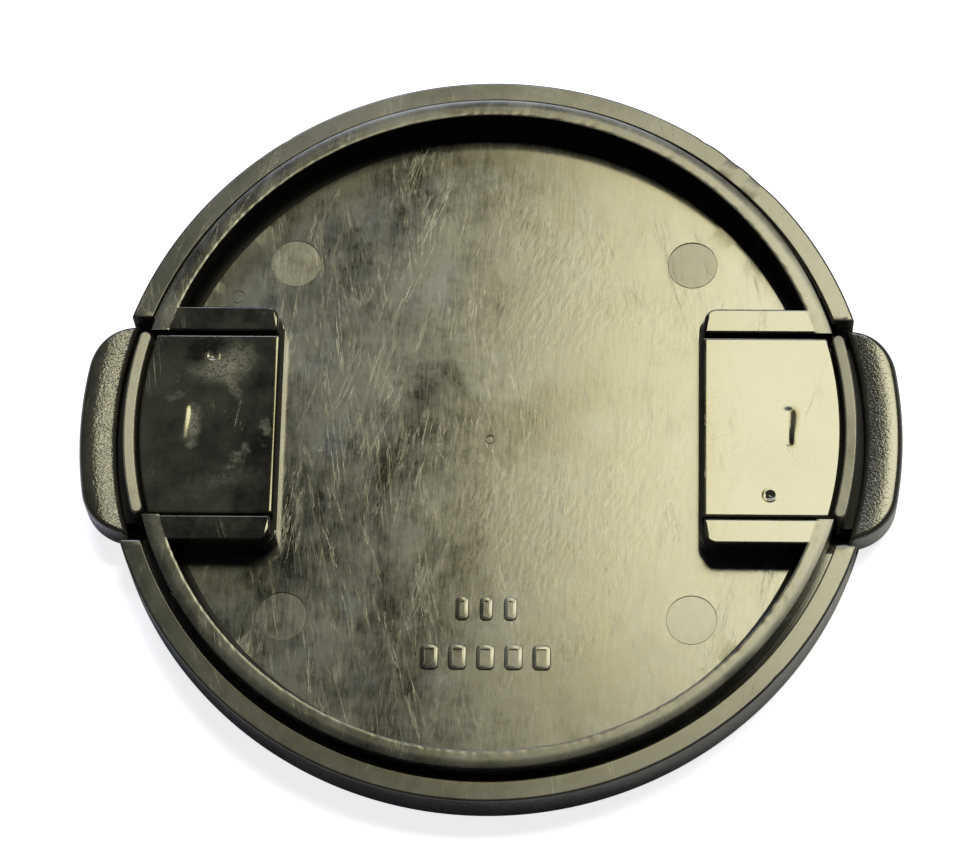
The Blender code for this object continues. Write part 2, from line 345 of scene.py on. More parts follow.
def ripple_grid(x: np.ndarray, y: np.ndarray, scale: float, seed: float) -> np.ndarray:
    """Smooth noise over a grid of places, for a given feature size."""
    values = [ripple(a, b, seed * scale, scale) for a, b in zip(x.ravel(), y.ravel())]
    return np.array(values).reshape(x.shape)


def to_object(name: str, builder: bmesh.types.BMesh) -> bpy.types.Object:
    """Turns a closed builder into a linked object with its faces outwards, and frees it."""
    bmesh.ops.recalc_face_normals(builder, faces=builder.faces)
    if builder.calc_volume(signed=True) < 0.0:
        bmesh.ops.reverse_faces(builder, faces=builder.faces)
    mesh = bpy.data.meshes.new(name)
    builder.to_mesh(mesh)
    builder.free()
    item = bpy.data.objects.new(name, mesh)
    bpy.context.scene.collection.objects.link(item)
    return item


@dataclass
class Moulding:
    """One plastic moulding that is built up from simple solids.

    Attributes:
        name: The finished object's name.
        base: The solid that the others are joined to or cut from.
        steps: The solids still to be applied, in order.
    """

    name: str
    base: bmesh.types.BMesh
    steps: list[tuple[Join, bmesh.types.BMesh]] = field(default_factory=list)

    def add(self, solid: bmesh.types.BMesh) -> None:
        """Joins a solid to the moulding."""
        self.steps.append((Join.ADD, solid))

    def cut(self, solid: bmesh.types.BMesh) -> None:
        """Cuts a solid out of the moulding."""
        self.steps.append((Join.CUT, solid))

    def finish(
        self,
        edge_round: float = 0.0,
        wear: Callable[[np.ndarray], np.ndarray] | None = None,
    ) -> bpy.types.Object:
        """Applies every step, rounds what is still sharp, wears it and shades the result.

        Args:
            edge_round: The radius on the edges that the steps leave sharp, or zero.
            wear: Gives the worn places of the points from the new ones.

        Returns:
            The finished object, with no modifier left on it.
        """
        item = to_object(self.name, self.base)
        tools: list[bpy.types.Object] = []
        for index, (join, solid) in enumerate(self.steps):
            tool = to_object(f"{self.name}_tool_{index}", solid)
            tools.append(tool)
            modifier = item.modifiers.new(tool.name, "BOOLEAN")
            modifier.operation = join.value
            modifier.solver = "EXACT"
            modifier.object = tool
        if edge_round > 0.0:
            bevel = item.modifiers.new("edge_round", "BEVEL")
            bevel.width = edge_round
            bevel.segments = 2
            bevel.limit_method = "ANGLE"
            bevel.angle_limit = math.radians(40.0)
            bevel.use_clamp_overlap = True
        apply_modifiers(item)
        for tool in tools:
            bpy.data.objects.remove(tool)
        if wear:
            move_points(item, wear)
        shade(item, 32.0)
        return item


def apply_modifiers(item: bpy.types.Object) -> None:
    """Replaces an object's mesh with what its modifiers make of it."""
    bpy.context.view_layer.update()
    evaluated = item.evaluated_get(bpy.context.evaluated_depsgraph_get())
    mesh = bpy.data.meshes.new_from_object(evaluated)
    item.modifiers.clear()
    item.data = mesh


def shade(item: bpy.types.Object, sharp_degrees: float) -> None:
    """Shades an object smooth, with flat faces kept flat and steep edges kept sharp.

    Args:
        item: The object to shade.
        sharp_degrees: Edges steeper than this stay sharp.
    """
    item.data.shade_smooth()
    item.data.set_sharp_from_angle(angle=math.radians(sharp_degrees))
    weighted = item.modifiers.new("flat_faces", "WEIGHTED_NORMAL")
    weighted.keep_sharp = True
    weighted.weight = 50
    apply_modifiers(item)


def move_points(item: bpy.types.Object, rule: Callable[[np.ndarray], np.ndarray]) -> None:
    """Moves an object's points by a rule.

    Args:
        item: The object to change.
        rule: Gives the new places from the old ones, one point in each row.
    """
    places = np.zeros(len(item.data.vertices) * 3, np.float32)
    item.data.vertices.foreach_get("co", places)
    moved = rule(places.reshape(-1, 3).astype(float))
    item.data.vertices.foreach_set("co", moved.astype(np.float32).ravel())
    item.data.update()


# ---------------------------------------------------------------------------------------------
# Shader tools and shared effects
# ---------------------------------------------------------------------------------------------


class Canvas:
    """A short hand for placing and linking the nodes of one tree."""

    def __init__(self, tree: bpy.types.NodeTree) -> None:
        """Keeps the tree that nodes are added to."""
        self.tree = tree

    def node(self, kind: str, **settings: object) -> bpy.types.Node:
        """Adds a node and sets its plain properties."""
        made = self.tree.nodes.new(kind)
        for key, value in settings.items():
            setattr(made, key, value)
        return made

    def feed(self, target: bpy.types.NodeSocket, value: object) -> None:
        """Links a socket to another one, or sets its plain value."""
        if isinstance(value, bpy.types.NodeSocket):
            self.tree.links.new(value, target)
        else:
            target.default_value = value

    def maths(self, operation: str, *values: object, clamp: bool = False) -> bpy.types.NodeSocket:
        """Adds a Math node and returns its result."""
        made = self.node("ShaderNodeMath", operation=operation, use_clamp=clamp)
        for socket, value in zip(made.inputs, values):
            self.feed(socket, value)
        return made.outputs[0]

    def vector(self, operation: str, *values: object) -> bpy.types.NodeSocket:
        """Adds a Vector Math node and returns its vector result."""
        made = self.node("ShaderNodeVectorMath", operation=operation)
        for socket, value in zip(made.inputs, values):
            self.feed(socket, value)
        return made.outputs["Value" if operation in ("DOT_PRODUCT", "LENGTH", "DISTANCE") else "Vector"]

    def turn(self, place: object, angle: object) -> bpy.types.NodeSocket:
        """Turns a place about the Z axis by an angle in radians."""
        made = self.node("ShaderNodeVectorRotate", rotation_type="Z_AXIS")
        self.feed(made.inputs["Vector"], place)
        self.feed(made.inputs["Angle"], angle)
        return made.outputs["Vector"]

    def per_metre(self, size: object) -> bpy.types.NodeSocket:
        """The texture scale that gives features of a size in millimetres."""
        return self.maths("DIVIDE", 1.0 / MM, size)

    def ramp(self, value: object, low: float, high: float) -> bpy.types.NodeSocket:
        """Rises smoothly from 0 at one value to 1 at another."""
        made = self.node("ShaderNodeMapRange", interpolation_type="SMOOTHSTEP")
        self.feed(made.inputs["Value"], value)
        self.feed(made.inputs["From Min"], low)
        self.feed(made.inputs["From Max"], high)
        return made.outputs["Result"]

    def cloud(
        self, place: object, scale: object, detail: float = 3.0, rough: float = 0.55
    ) -> bpy.types.NodeSocket:
        """Adds a Noise Texture and returns its value."""
        made = self.node("ShaderNodeTexNoise")
        self.feed(made.inputs["Vector"], place)
        self.feed(made.inputs["Scale"], scale)
        made.inputs["Detail"].default_value = detail
        made.inputs["Roughness"].default_value = rough
        return made.outputs["Fac"]

    def mix(self, share: object, first: object, second: object) -> bpy.types.NodeSocket:
        """Mixes two colours."""
        made = self.node("ShaderNodeMix", data_type="RGBA")
        self.feed(made.inputs[0], share)
        self.feed(made.inputs[6], first)
        self.feed(made.inputs[7], second)
        return made.outputs[2]

    def effect(self, tree: bpy.types.NodeTree, **values: object) -> bpy.types.Node:
        """Places a shared effect and feeds its inputs by name."""
        made = self.node("ShaderNodeGroup")
        made.node_tree = tree
        for key, value in values.items():
            self.feed(made.inputs[key.replace("_", " ").title()], value)
        return made


def blank_material(
    name: str,
) -> tuple[bpy.types.Material, Canvas, bpy.types.Node, bpy.types.NodeSocket]:
    """Starts a material.

    Args:
        name: The material's name.

    Returns:
        The material, its canvas, its Principled shader and the object coordinates.
    """
    material = bpy.data.materials.new(name)
    material.use_nodes = True
    canvas = Canvas(material.node_tree)
    where = canvas.node("ShaderNodeTexCoord").outputs["Object"]
    return material, canvas, material.node_tree.nodes["Principled BSDF"], where


class Effects:
    """The shader node groups that several finishes share. Each is built once."""

    def __init__(self) -> None:
        """Builds every shared effect."""
        self.hairlines = self._hairlines()
        self.film = self._film()
        self.rub = self._rub()
        self.pebbles = self._pebbles()
        self.specks = self._specks()
        self.smudge = self._smudge()

    @staticmethod
    def _start(
        name: str, vectors: Sequence[str], numbers: Sequence[str], masks: Sequence[str]
    ) -> tuple[Canvas, dict[str, bpy.types.NodeSocket], bpy.types.Node]:
        """Opens a node group with named sockets.

        Args:
            name: The group's name.
            vectors: The names of the inputs that are vectors.
            numbers: The names of the inputs that are plain numbers.
            masks: The names of the outputs, which are all plain numbers.

        Returns:
            The canvas, the group's input sockets by name, and its output node.
        """
        tree = bpy.data.node_groups.new(name, "ShaderNodeTree")
        for key in vectors:
            tree.interface.new_socket(name=key, in_out="INPUT", socket_type="NodeSocketVector")
        for key in numbers:
            tree.interface.new_socket(name=key, in_out="INPUT", socket_type="NodeSocketFloat")
        for key in masks:
            tree.interface.new_socket(name=key, in_out="OUTPUT", socket_type="NodeSocketFloat")
        canvas = Canvas(tree)
        source = canvas.node("NodeGroupInput")
        result = canvas.node("NodeGroupOutput")
        return canvas, {socket.name: socket for socket in source.outputs if socket.name}, result

    def _hairlines(self) -> bpy.types.NodeTree:
        """Fine scratches that run one way: the finer the spacing, the closer they lie."""
        canvas, given, result = self._start(
            "Hairline Scratches",
            ("Position",),
            ("Angle", "Spacing", "Stretch", "Line Width", "Cover"),
            ("Lines", "Grain"),
        )
        turned_place = canvas.turn(given["Position"], given["Angle"])
        across = canvas.per_metre(given["Spacing"])
        along = canvas.maths("DIVIDE", across, given["Stretch"])
        shape = canvas.node("ShaderNodeCombineXYZ")
        canvas.feed(shape.inputs["X"], across)
        canvas.feed(shape.inputs["Y"], along)
        canvas.feed(shape.inputs["Z"], across)
        place = canvas.vector("MULTIPLY", turned_place, shape.outputs["Vector"])
        grain = canvas.cloud(place, 1.0, detail=4.0, rough=0.65)
        away = canvas.maths("ABSOLUTE", canvas.maths("SUBTRACT", grain, 0.5))
        thin = canvas.maths("DIVIDE", away, given["Line Width"])
        line = canvas.maths("SUBTRACT", 1.0, thin, clamp=True)
        shift = canvas.vector("ADD", turned_place, (0.31, 0.17, 0.23))
        lengthy = canvas.vector("MULTIPLY", shift, (1.0, 0.3, 1.0))
        patches = canvas.cloud(lengthy, canvas.maths("MULTIPLY", across, 0.35), detail=2.0)
        limit = canvas.maths("SUBTRACT", 0.72, canvas.maths("MULTIPLY", given["Cover"], 0.4))
        chosen = canvas.maths("MULTIPLY", canvas.maths("SUBTRACT", patches, limit), 5.0, clamp=True)
        canvas.feed(result.inputs["Lines"], canvas.maths("MULTIPLY", line, chosen))
        canvas.feed(result.inputs["Grain"], grain)
        return canvas.tree

    def _film(self) -> bpy.types.NodeTree:
        """The uneven haze that handling leaves, with wiped patches in it."""
        canvas, given, result = self._start(
            "Handling Film", ("Position",), ("Size", "Wipe Angle"), ("Haze", "Wiped")
        )
        scale = canvas.per_metre(given["Size"])
        broad = canvas.cloud(given["Position"], scale, detail=5.0, rough=0.62)
        turned_place = canvas.turn(given["Position"], given["Wipe Angle"])
        pulled = canvas.vector("MULTIPLY", turned_place, (1.0, 0.28, 1.0))
        shifted = canvas.vector("ADD", pulled, (0.11, 0.05, 0.4))
        wiped = canvas.cloud(shifted, canvas.maths("MULTIPLY", scale, 1.6), detail=4.0, rough=0.6)
        canvas.feed(result.inputs["Haze"], canvas.ramp(broad, 0.32, 0.72))
        canvas.feed(result.inputs["Wiped"], canvas.ramp(wiped, 0.52, 0.66))
        return canvas.tree

    def _rub(self) -> bpy.types.NodeTree:
        """Edges rubbed pale and rough, broken up so that no edge is worn evenly."""
        canvas, given, result = self._start(
            "Rubbed Edges", ("Position",), ("Radius", "Amount"), ("Worn",)
        )
        bevel = canvas.node("ShaderNodeBevel", samples=4)
        canvas.feed(bevel.inputs["Radius"], given["Radius"])
        geometry = canvas.node("ShaderNodeNewGeometry")
        facing = canvas.vector("DOT_PRODUCT", bevel.outputs["Normal"], geometry.outputs["Normal"])
        edge = canvas.ramp(facing, 0.995, 0.86)
        fine = canvas.cloud(given["Position"], 2600.0, detail=4.0, rough=0.7)
        broad = canvas.cloud(given["Position"], 330.0, detail=2.0)
        broken = canvas.maths("MULTIPLY", canvas.maths("ADD", fine, broad), 0.6)
        limit = canvas.maths("SUBTRACT", 1.0, canvas.maths("MULTIPLY", given["Amount"], 0.65))
        kept = canvas.maths("MULTIPLY", canvas.maths("SUBTRACT", broken, limit), 6.0, clamp=True)
        canvas.feed(result.inputs["Worn"], canvas.maths("MULTIPLY", edge, kept))
        return canvas.tree

    def _pebbles(self) -> bpy.types.NodeTree:
        """The rounded, close-packed grain of a spark-eroded mould face."""
        canvas, given, result = self._start(
            "Pebble Grain", ("Position",), ("Size", "Reach"), ("Height",)
        )
        scale = canvas.per_metre(given["Size"])
        bend = canvas.node("ShaderNodeTexNoise")
        canvas.feed(bend.inputs["Vector"], given["Position"])
        canvas.feed(bend.inputs["Scale"], scale)
        warp = canvas.vector("SCALE", bend.outputs["Color"])
        warp.node.inputs["Scale"].default_value = 0.0001
        cells = canvas.node("ShaderNodeTexVoronoi", feature="SMOOTH_F1")
        canvas.feed(cells.inputs["Vector"], canvas.vector("ADD", given["Position"], warp))
        canvas.feed(cells.inputs["Scale"], scale)
        cells.inputs["Smoothness"].default_value = 0.35
        lumps = canvas.maths("SUBTRACT", 1.0, cells.outputs["Distance"])
        grain = canvas.cloud(given["Position"], canvas.maths("MULTIPLY", scale, 1.4), detail=3.0)
        flat = canvas.vector("MULTIPLY", given["Position"], (1.0, 1.0, 0.0))
        inward = canvas.maths("SUBTRACT", given["Reach"], canvas.vector("LENGTH", flat))
        fade = canvas.ramp(inward, 0.5 * MM, 1.6 * MM)
        height = canvas.maths("MULTIPLY", canvas.maths("ADD", lumps, grain), 0.5)
        canvas.feed(result.inputs["Height"], canvas.maths("MULTIPLY", height, fade))
        return canvas.tree

    def _specks(self) -> bpy.types.NodeTree:
        """Scattered specks of dust and small dents."""
        canvas, given, result = self._start(
            "Dust Specks", ("Position",), ("Pitch", "Amount"), ("Specks",)
        )
        cells = canvas.node("ShaderNodeTexVoronoi", feature="F1")
        canvas.feed(cells.inputs["Vector"], given["Position"])
        canvas.feed(cells.inputs["Scale"], canvas.per_metre(given["Pitch"]))
        split = canvas.node("ShaderNodeSeparateColor")
        canvas.feed(split.inputs["Color"], cells.outputs["Color"])
        size = canvas.maths("MULTIPLY", split.outputs["Red"], 0.1)
        spot = canvas.ramp(canvas.maths("SUBTRACT", size, cells.outputs["Distance"]), 0.0, 0.05)
        chosen = canvas.maths("LESS_THAN", split.outputs["Green"], given["Amount"])
        canvas.feed(result.inputs["Specks"], canvas.maths("MULTIPLY", spot, chosen))
        return canvas.tree

    def _smudge(self) -> bpy.types.NodeTree:
        """One ragged patch: a smudge where something has rubbed or greased the surface, or a patch of
        painted light or painted shade.
        """
        canvas, given, result = self._start(
            "Ragged Smudge",
            ("Position", "Centre"),
            ("Angle", "Length", "Width", "Ragged"),
            ("Mask",),
        )
        offset = canvas.vector("SUBTRACT", given["Position"], given["Centre"])
        split = canvas.node("ShaderNodeSeparateXYZ")
        canvas.feed(split.inputs["Vector"], canvas.turn(offset, given["Angle"]))
        squares = []
        for axis, size in (("X", "Length"), ("Y", "Width")):
            half = canvas.maths("MULTIPLY", given[size], 0.5 * MM)
            share = canvas.maths("DIVIDE", split.outputs[axis], half)
            squares.append(canvas.maths("POWER", share, 2.0))
        reach = canvas.maths("SQRT", canvas.maths("ADD", *squares))
        fine = canvas.cloud(given["Position"], 1300.0, detail=6.0, rough=0.7)
        torn = canvas.maths("MULTIPLY", canvas.maths("SUBTRACT", fine, 0.5), given["Ragged"])
        edge = canvas.maths("ADD", reach, torn)
        grains = canvas.cloud(given["Position"], 5200.0, detail=4.0, rough=0.75)
        powder = canvas.ramp(grains, 0.3, 0.68)
        inside = canvas.ramp(edge, 1.35, 0.15)
        canvas.feed(result.inputs["Mask"], canvas.maths("MULTIPLY", inside, powder))
        return canvas.tree


@dataclass(frozen=True)
class Smudge:
    """A patch on a surface that is darker or hazier than the rest: a smudge, or a patch of painted
    light or painted shade.

    Attributes:
        centre: The patch's middle, in millimetres in the cap's plan.
        length: Its length in millimetres.
        width: Its width in millimetres.
        angle: Its turn in degrees.
        tone: What it adds to the haze, below zero where the surface is wiped dark or painted in shade.
        ragged: How torn its outline is.
    """

    centre: Point2
    length: float
    width: float
    angle: float
    tone: float
    ragged: float = 2.5


@dataclass(frozen=True)
class PlasticFinish:
    """A black moulded plastic, as new or worn.

    Attributes:
        name: The material's name.
        black: The clean plastic's colour.
        dust_colour: The colour of the dust and the bruised plastic on it, and of the painted light that
            some patches add.
        grease_colour: The colour of the greasy film.
        rub_colour: The colour of the rubbed edges.
        speck_colour: The colour of the specks of dust.
        polish: The roughness of the clean surface.
        haze: How strongly the worn film scatters light, from 0 to 1.
        haze_spread: The roughness of that film.
        film: The film's even share, from 0 to 1.
        mottle: How uneven the film is, from 0 to 1.
        dust: How much pale dust lies on it, from 0 to 1.
        grease: How much of a cool greasy film lies on it, from 0 to 1.
        brush: The height in metres of the fine one-way brushing.
        brush_spacing: The spacing of that brushing in millimetres.
        brush_angle: The brushing's direction, in degrees from Y.
        scratches: The height in metres of the stray scratches.
        scratch_cover: How many stray scratches there are, from 0 to 1.
        rub: How much the edges are rubbed, from 0 to 1.
        wrinkle: The height in metres of the fine slanting wrinkles, or zero.
        pebble: The height in metres of the pebbled grain, or zero.
        pebble_size: The size in millimetres of one pebble.
        pebble_reach: The radius of the edge towards which the pebbles fade out.
        specks: The share of places that hold a speck of dust.
        specular: The strength of the clean surface's reflection, 0.5 being that of plain plastic.
        smudges: The smudges, and the patches of painted light and shade, that stand out on it.
    """

    name: str
    black: Colour = (0.0075, 0.0075, 0.007, 1.0)
    dust_colour: Colour = (0.2, 0.19, 0.145, 1.0)
    grease_colour: Colour = (0.075, 0.085, 0.12, 1.0)
    rub_colour: Colour = (0.26, 0.25, 0.19, 1.0)
    speck_colour: Colour = (0.26, 0.25, 0.2, 1.0)
    polish: float = 0.14
    haze: float = 0.6
    haze_spread: float = 0.42
    film: float = 0.7
    mottle: float = 0.6
    dust: float = 0.1
    grease: float = 0.0
    brush: float = 0.0
    brush_spacing: float = 0.2
    brush_angle: float = 0.0
    scratches: float = 2e-6
    scratch_cover: float = 0.3
    rub: float = 0.5
    wrinkle: float = 0.0
    pebble: float = 0.0
    pebble_size: float = 0.22
    pebble_reach: float = 32.7 * MM
    specks: float = 0.1
    specular: float = 0.5
    smudges: tuple[Smudge, ...] = ()

    def build(self, effects: Effects) -> bpy.types.Material:
        """Makes the material from the shared effects.

        Args:
            effects: The shared node groups.

        Returns:
            A material whose wear follows the object's own coordinates.
        """
        material, canvas, shader, where = blank_material(self.name)
        tilt = math.radians(self.brush_angle)
        brushing = [
            self._lines(canvas, effects, where, tilt, self.brush_spacing, 10.0, 0.9),
            self._lines(canvas, effects, where, tilt + 0.06, 3.0 * self.brush_spacing, 9.0, 0.8),
        ]
        fine, coarse = [layer.outputs["Grain"] for layer in brushing]
        lines = self._strays(canvas, effects, where, tilt)
        rub = canvas.effect(effects.rub, position=where, radius=0.09 * MM, amount=self.rub)
        rub = rub.outputs["Worn"]
        specks = canvas.effect(effects.specks, position=where, pitch=0.9, amount=self.specks)
        # haze also holds the patches of painted light and shade, which the dust layer below paints into
        # the colour.
        haze = self._haze(canvas, effects, where, fine, coarse)
        grease = canvas.ramp(canvas.cloud(where, 210.0, detail=4.0, rough=0.65), 0.5, 0.75)
        colour = self.black
        layers = (
            (haze, self.dust, self.dust_colour),
            (grease, self.grease, self.grease_colour),
            (lines, 0.6, self.dust_colour),
            (rub, 0.5, self.rub_colour),
            (specks.outputs["Specks"], 0.5, self.speck_colour),
        )
        for mask, strength, tint in layers:
            colour = canvas.mix(canvas.maths("MULTIPLY", mask, strength), colour, tint)
        canvas.feed(shader.inputs["Base Color"], colour)
        rough = canvas.maths("MULTIPLY_ADD", haze, 0.04, self.polish)
        rough = canvas.maths("MULTIPLY_ADD", lines, 0.1, rough)
        rough = canvas.maths("MULTIPLY_ADD", rub, 0.25, rough, clamp=True)
        canvas.feed(shader.inputs["Roughness"], rough)
        scatter = canvas.maths("MULTIPLY_ADD", rub, 0.8, haze)
        coat = canvas.maths("MULTIPLY", scatter, self.haze, clamp=True)
        canvas.feed(shader.inputs["Coat Weight"], coat)
        shader.inputs["Coat Roughness"].default_value = self.haze_spread
        height = canvas.maths("MULTIPLY", fine, self.brush)
        height = canvas.maths("MULTIPLY_ADD", coarse, 1.6 * self.brush, height)
        height = canvas.maths("MULTIPLY_ADD", lines, -self.scratches, height)
        if self.wrinkle > 0.0:
            wave = self._wrinkles(canvas, where)
            height = canvas.maths("MULTIPLY_ADD", wave, self.wrinkle, height)
        if self.pebble > 0.0:
            grain = canvas.effect(
                effects.pebbles, position=where, size=self.pebble_size, reach=self.pebble_reach
            )
            height = canvas.maths("MULTIPLY_ADD", grain.outputs["Height"], self.pebble, height)
        bump = canvas.node("ShaderNodeBump")
        bump.inputs["Strength"].default_value = 1.0
        bump.inputs["Distance"].default_value = 1.0
        canvas.feed(bump.inputs["Height"], height)
        canvas.feed(shader.inputs["Normal"], bump.outputs["Normal"])
        shader.inputs["IOR"].default_value = 1.5
        shader.inputs["Specular IOR Level"].default_value = self.specular
        return material

    def _strays(
        self, canvas: Canvas, effects: Effects, where: bpy.types.NodeSocket, tilt: float
    ) -> bpy.types.NodeSocket:
        """The stray scratches: a long set nearly along the brushing, and three that cross it."""
        sets = ((-0.14, 0.9, 24.0), (0.16, 0.6, 20.0), (0.38, 0.9, 20.0), (-0.3, 0.8, 20.0))
        layers = [
            self._lines(canvas, effects, where, tilt + lean, spacing, stretch, self.scratch_cover)
            for lean, spacing, stretch in sets
        ]
        lines = layers[0].outputs["Lines"]
        for layer in layers[1:]:
            lines = canvas.maths("MAXIMUM", lines, layer.outputs["Lines"])
        return lines

    @staticmethod
    def _wrinkles(canvas: Canvas, where: bpy.types.NodeSocket) -> bpy.types.NodeSocket:
        """Fine slanting wrinkles in the moulded face, in a few patches only."""
        turned_place = canvas.turn(where, math.radians(35.0))
        slanting = canvas.vector("MULTIPLY", turned_place, (1.0, 0.42, 1.0))
        wave = canvas.cloud(slanting, 2600.0, detail=3.0, rough=0.6)
        patch = canvas.ramp(canvas.cloud(where, 75.0, detail=2.0), 0.48, 0.6)
        return canvas.maths("MULTIPLY", wave, patch)

    @staticmethod
    def _lines(
        canvas: Canvas,
        effects: Effects,
        where: bpy.types.NodeSocket,
        angle: float,
        spacing: float,
        stretch: float,
        cover: float,
    ) -> bpy.types.Node:
        """Places one set of scratches that run one way."""
        return canvas.effect(
            effects.hairlines,
            position=where,
            angle=angle,
            spacing=spacing,
            stretch=stretch,
            line_width=0.008,
            cover=cover,
        )

    def _haze(
        self,
        canvas: Canvas,
        effects: Effects,
        where: bpy.types.NodeSocket,
        fine: bpy.types.NodeSocket,
        coarse: bpy.types.NodeSocket,
    ) -> bpy.types.NodeSocket:
        """The worn film's strength: an even share, a mottled share, the brushing, the smudges and the
        patches of painted light and shade.

        Args:
            canvas: The material's canvas.
            effects: The shared node groups.
            where: The object coordinates.
            fine: The fine brushing's grain.
            coarse: The coarser brushing's grain.

        Returns:
            The strength, from 0 to 1.
        """
        wipe = math.radians(self.brush_angle)
        film = canvas.effect(effects.film, position=where, size=11.0, wipe_angle=wipe)
        patches = canvas.cloud(where, 620.0, detail=6.0, rough=0.72)
        least = self.film - 0.5 * self.mottle
        cover = canvas.maths("MULTIPLY_ADD", film.outputs["Haze"], self.mottle, least)
        wiped = canvas.maths("MULTIPLY", film.outputs["Wiped"], 0.35 * self.mottle)
        cover = canvas.maths("SUBTRACT", cover, wiped)
        uneven = [(patches, 1.7 * self.mottle)]
        if self.brush > 0.0:
            uneven += [(fine, 1.3), (coarse, 0.8)]
        for layer, strength in uneven:
            swing = canvas.maths("SUBTRACT", layer, 0.5)
            cover = canvas.maths("MULTIPLY_ADD", swing, strength, cover)
        # Smudges and patches of painted light and shade: each adds its tone to the haze.
        for smudge in self.smudges:
            mask = canvas.effect(
                effects.smudge,
                position=where,
                centre=(smudge.centre[0] * MM, smudge.centre[1] * MM, 2.6 * MM),
                angle=-math.radians(smudge.angle),
                length=smudge.length,
                width=smudge.width,
                ragged=smudge.ragged,
            )
            cover = canvas.maths("MULTIPLY_ADD", mask.outputs["Mask"], smudge.tone, cover)
        return canvas.maths("MAXIMUM", cover, 0.0, clamp=True)


@dataclass(frozen=True)
class SpringFinish:
    """Bright drawn spring wire, dulled in patches.

    Attributes:
        name: The material's name.
        bright: The clean wire's colour.
        dull: The dulled wire's colour.
    """

    name: str = "drawn_spring_wire"
    bright: Colour = (0.6, 0.6, 0.58, 1.0)
    dull: Colour = (0.36, 0.34, 0.3, 1.0)

    def build(self, effects: Effects) -> bpy.types.Material:
        """Makes the wire's material from the shared effects."""
        material, canvas, shader, where = blank_material(self.name)
        film = canvas.effect(effects.film, position=where, size=1.5, wipe_angle=0.0)
        haze = film.outputs["Haze"]
        colour = canvas.mix(haze, self.bright, self.dull)
        canvas.feed(shader.inputs["Base Color"], colour)
        canvas.feed(shader.inputs["Roughness"], canvas.maths("MULTIPLY_ADD", haze, 0.18, 0.2))
        shader.inputs["Metallic"].default_value = 1.0
        return material


# ---------------------------------------------------------------------------------------------
# The cap
# ---------------------------------------------------------------------------------------------


@dataclass
class FrontShell:
    """The outer shell: front face, side wall and the flange that meets the lens rim.

    Attributes:
        radius: The outer radius.
        bore: The radius inside the wall.
        lip: The radius inside the flange, which stands in over the wall.
        lip_foot: The height of the flange's lower edge.
        recess: How deep the front face is sunk inside its rim.
        rim_radius: Where that rim starts.
        floor_top: The height of the inner floor.
        steps: How many flats the turned cup has.
    """

    radius: float = 30.5 * MM
    bore: float = 29.19 * MM
    lip: float = 28.86 * MM
    lip_foot: float = 3.7 * MM
    recess: float = 0.25 * MM
    rim_radius: float = 26.0 * MM
    floor_top: float = 1.1 * MM
    steps: int = 480

    def build(self, finish: bpy.types.Material) -> bpy.types.Object:
        """Makes the shell and puts it in place of its CAD node."""
        shell = self._moulding().finish(edge_round=0.1 * MM, wear=self._nicks)
        dress(shell, finish, "cap_body", ("front_shell",))
        return shell

    def _moulding(self) -> Moulding:
        """The turned cup with its two slots."""
        front_round = 0.5 * MM
        top_round = 0.2 * MM
        inner_edge = 0.14 * MM
        front = arc((self.radius - front_round, front_round), front_round, -90.0, 0.0, 6)
        top = arc((self.radius - top_round, FLANGE_TOP - top_round), top_round, 0.0, 90.0, 6)
        profile = [(0.0, self.recess)]
        profile += [(radius, self.recess) for radius in (8.0 * MM, 17.0 * MM, self.rim_radius)]
        profile += [(self.rim_radius + self.recess, 0.0), (28.0 * MM, 0.0)]
        profile += front + [(self.radius, 2.0 * MM)] + top
        profile += arc((self.lip + inner_edge, FLANGE_TOP - inner_edge), inner_edge, 90.0, 180.0, 5)
        profile += [(self.lip, self.lip_foot), (self.bore, self.lip_foot - (self.bore - self.lip))]
        profile += [(self.bore, self.floor_top), (0.0, self.floor_top)]
        moulding = Moulding("front_casing", turned(profile, self.steps))
        slot = box_outline((26.0 * MM, -SLOT_HALF_WIDTH), (BEYOND, SLOT_HALF_WIDTH))
        for side in Side:
            cutter = prism(slot, self.floor_top, 8.0 * MM)
            cutter.transform(side.turn)
            moulding.cut(cutter)
        return moulding

    def _nicks(self, places: np.ndarray) -> np.ndarray:
        """Dents along the flange's outer edge, deepest where the cap has been dropped."""
        nicks = (
            (50.5, 1.6, 0.09),
            (45.5, 2.4, 0.08),
            (56.0, 0.7, 0.07),
            (124.0, 0.5, 0.05),
            (203.0, 0.6, 0.05),
            (318.0, 0.8, 0.05),
        )
        angle = np.degrees(np.arctan2(places[:, 1], places[:, 0]))
        radius = np.hypot(places[:, 0], places[:, 1])
        edge = np.clip((places[:, 2] - 3.4 * MM) / (0.9 * MM), 0.0, 1.0) * (radius > 30.0 * MM)
        pull = np.zeros(len(places))
        for centre, spread, depth in nicks:
            pull += depth * MM * np.exp(-(((angle % 360.0 - centre) / spread) ** 2))
        wander = np.array([ripple(a, 0.0, 3.0, 2.3) for a in angle])
        pull += 0.004 * MM * (0.5 + 0.5 * wander)
        share = 1.0 - pull * edge / np.maximum(radius, 1.0 * MM)
        moved = places.copy()
        moved[:, :2] *= share[:, None]
        return moved


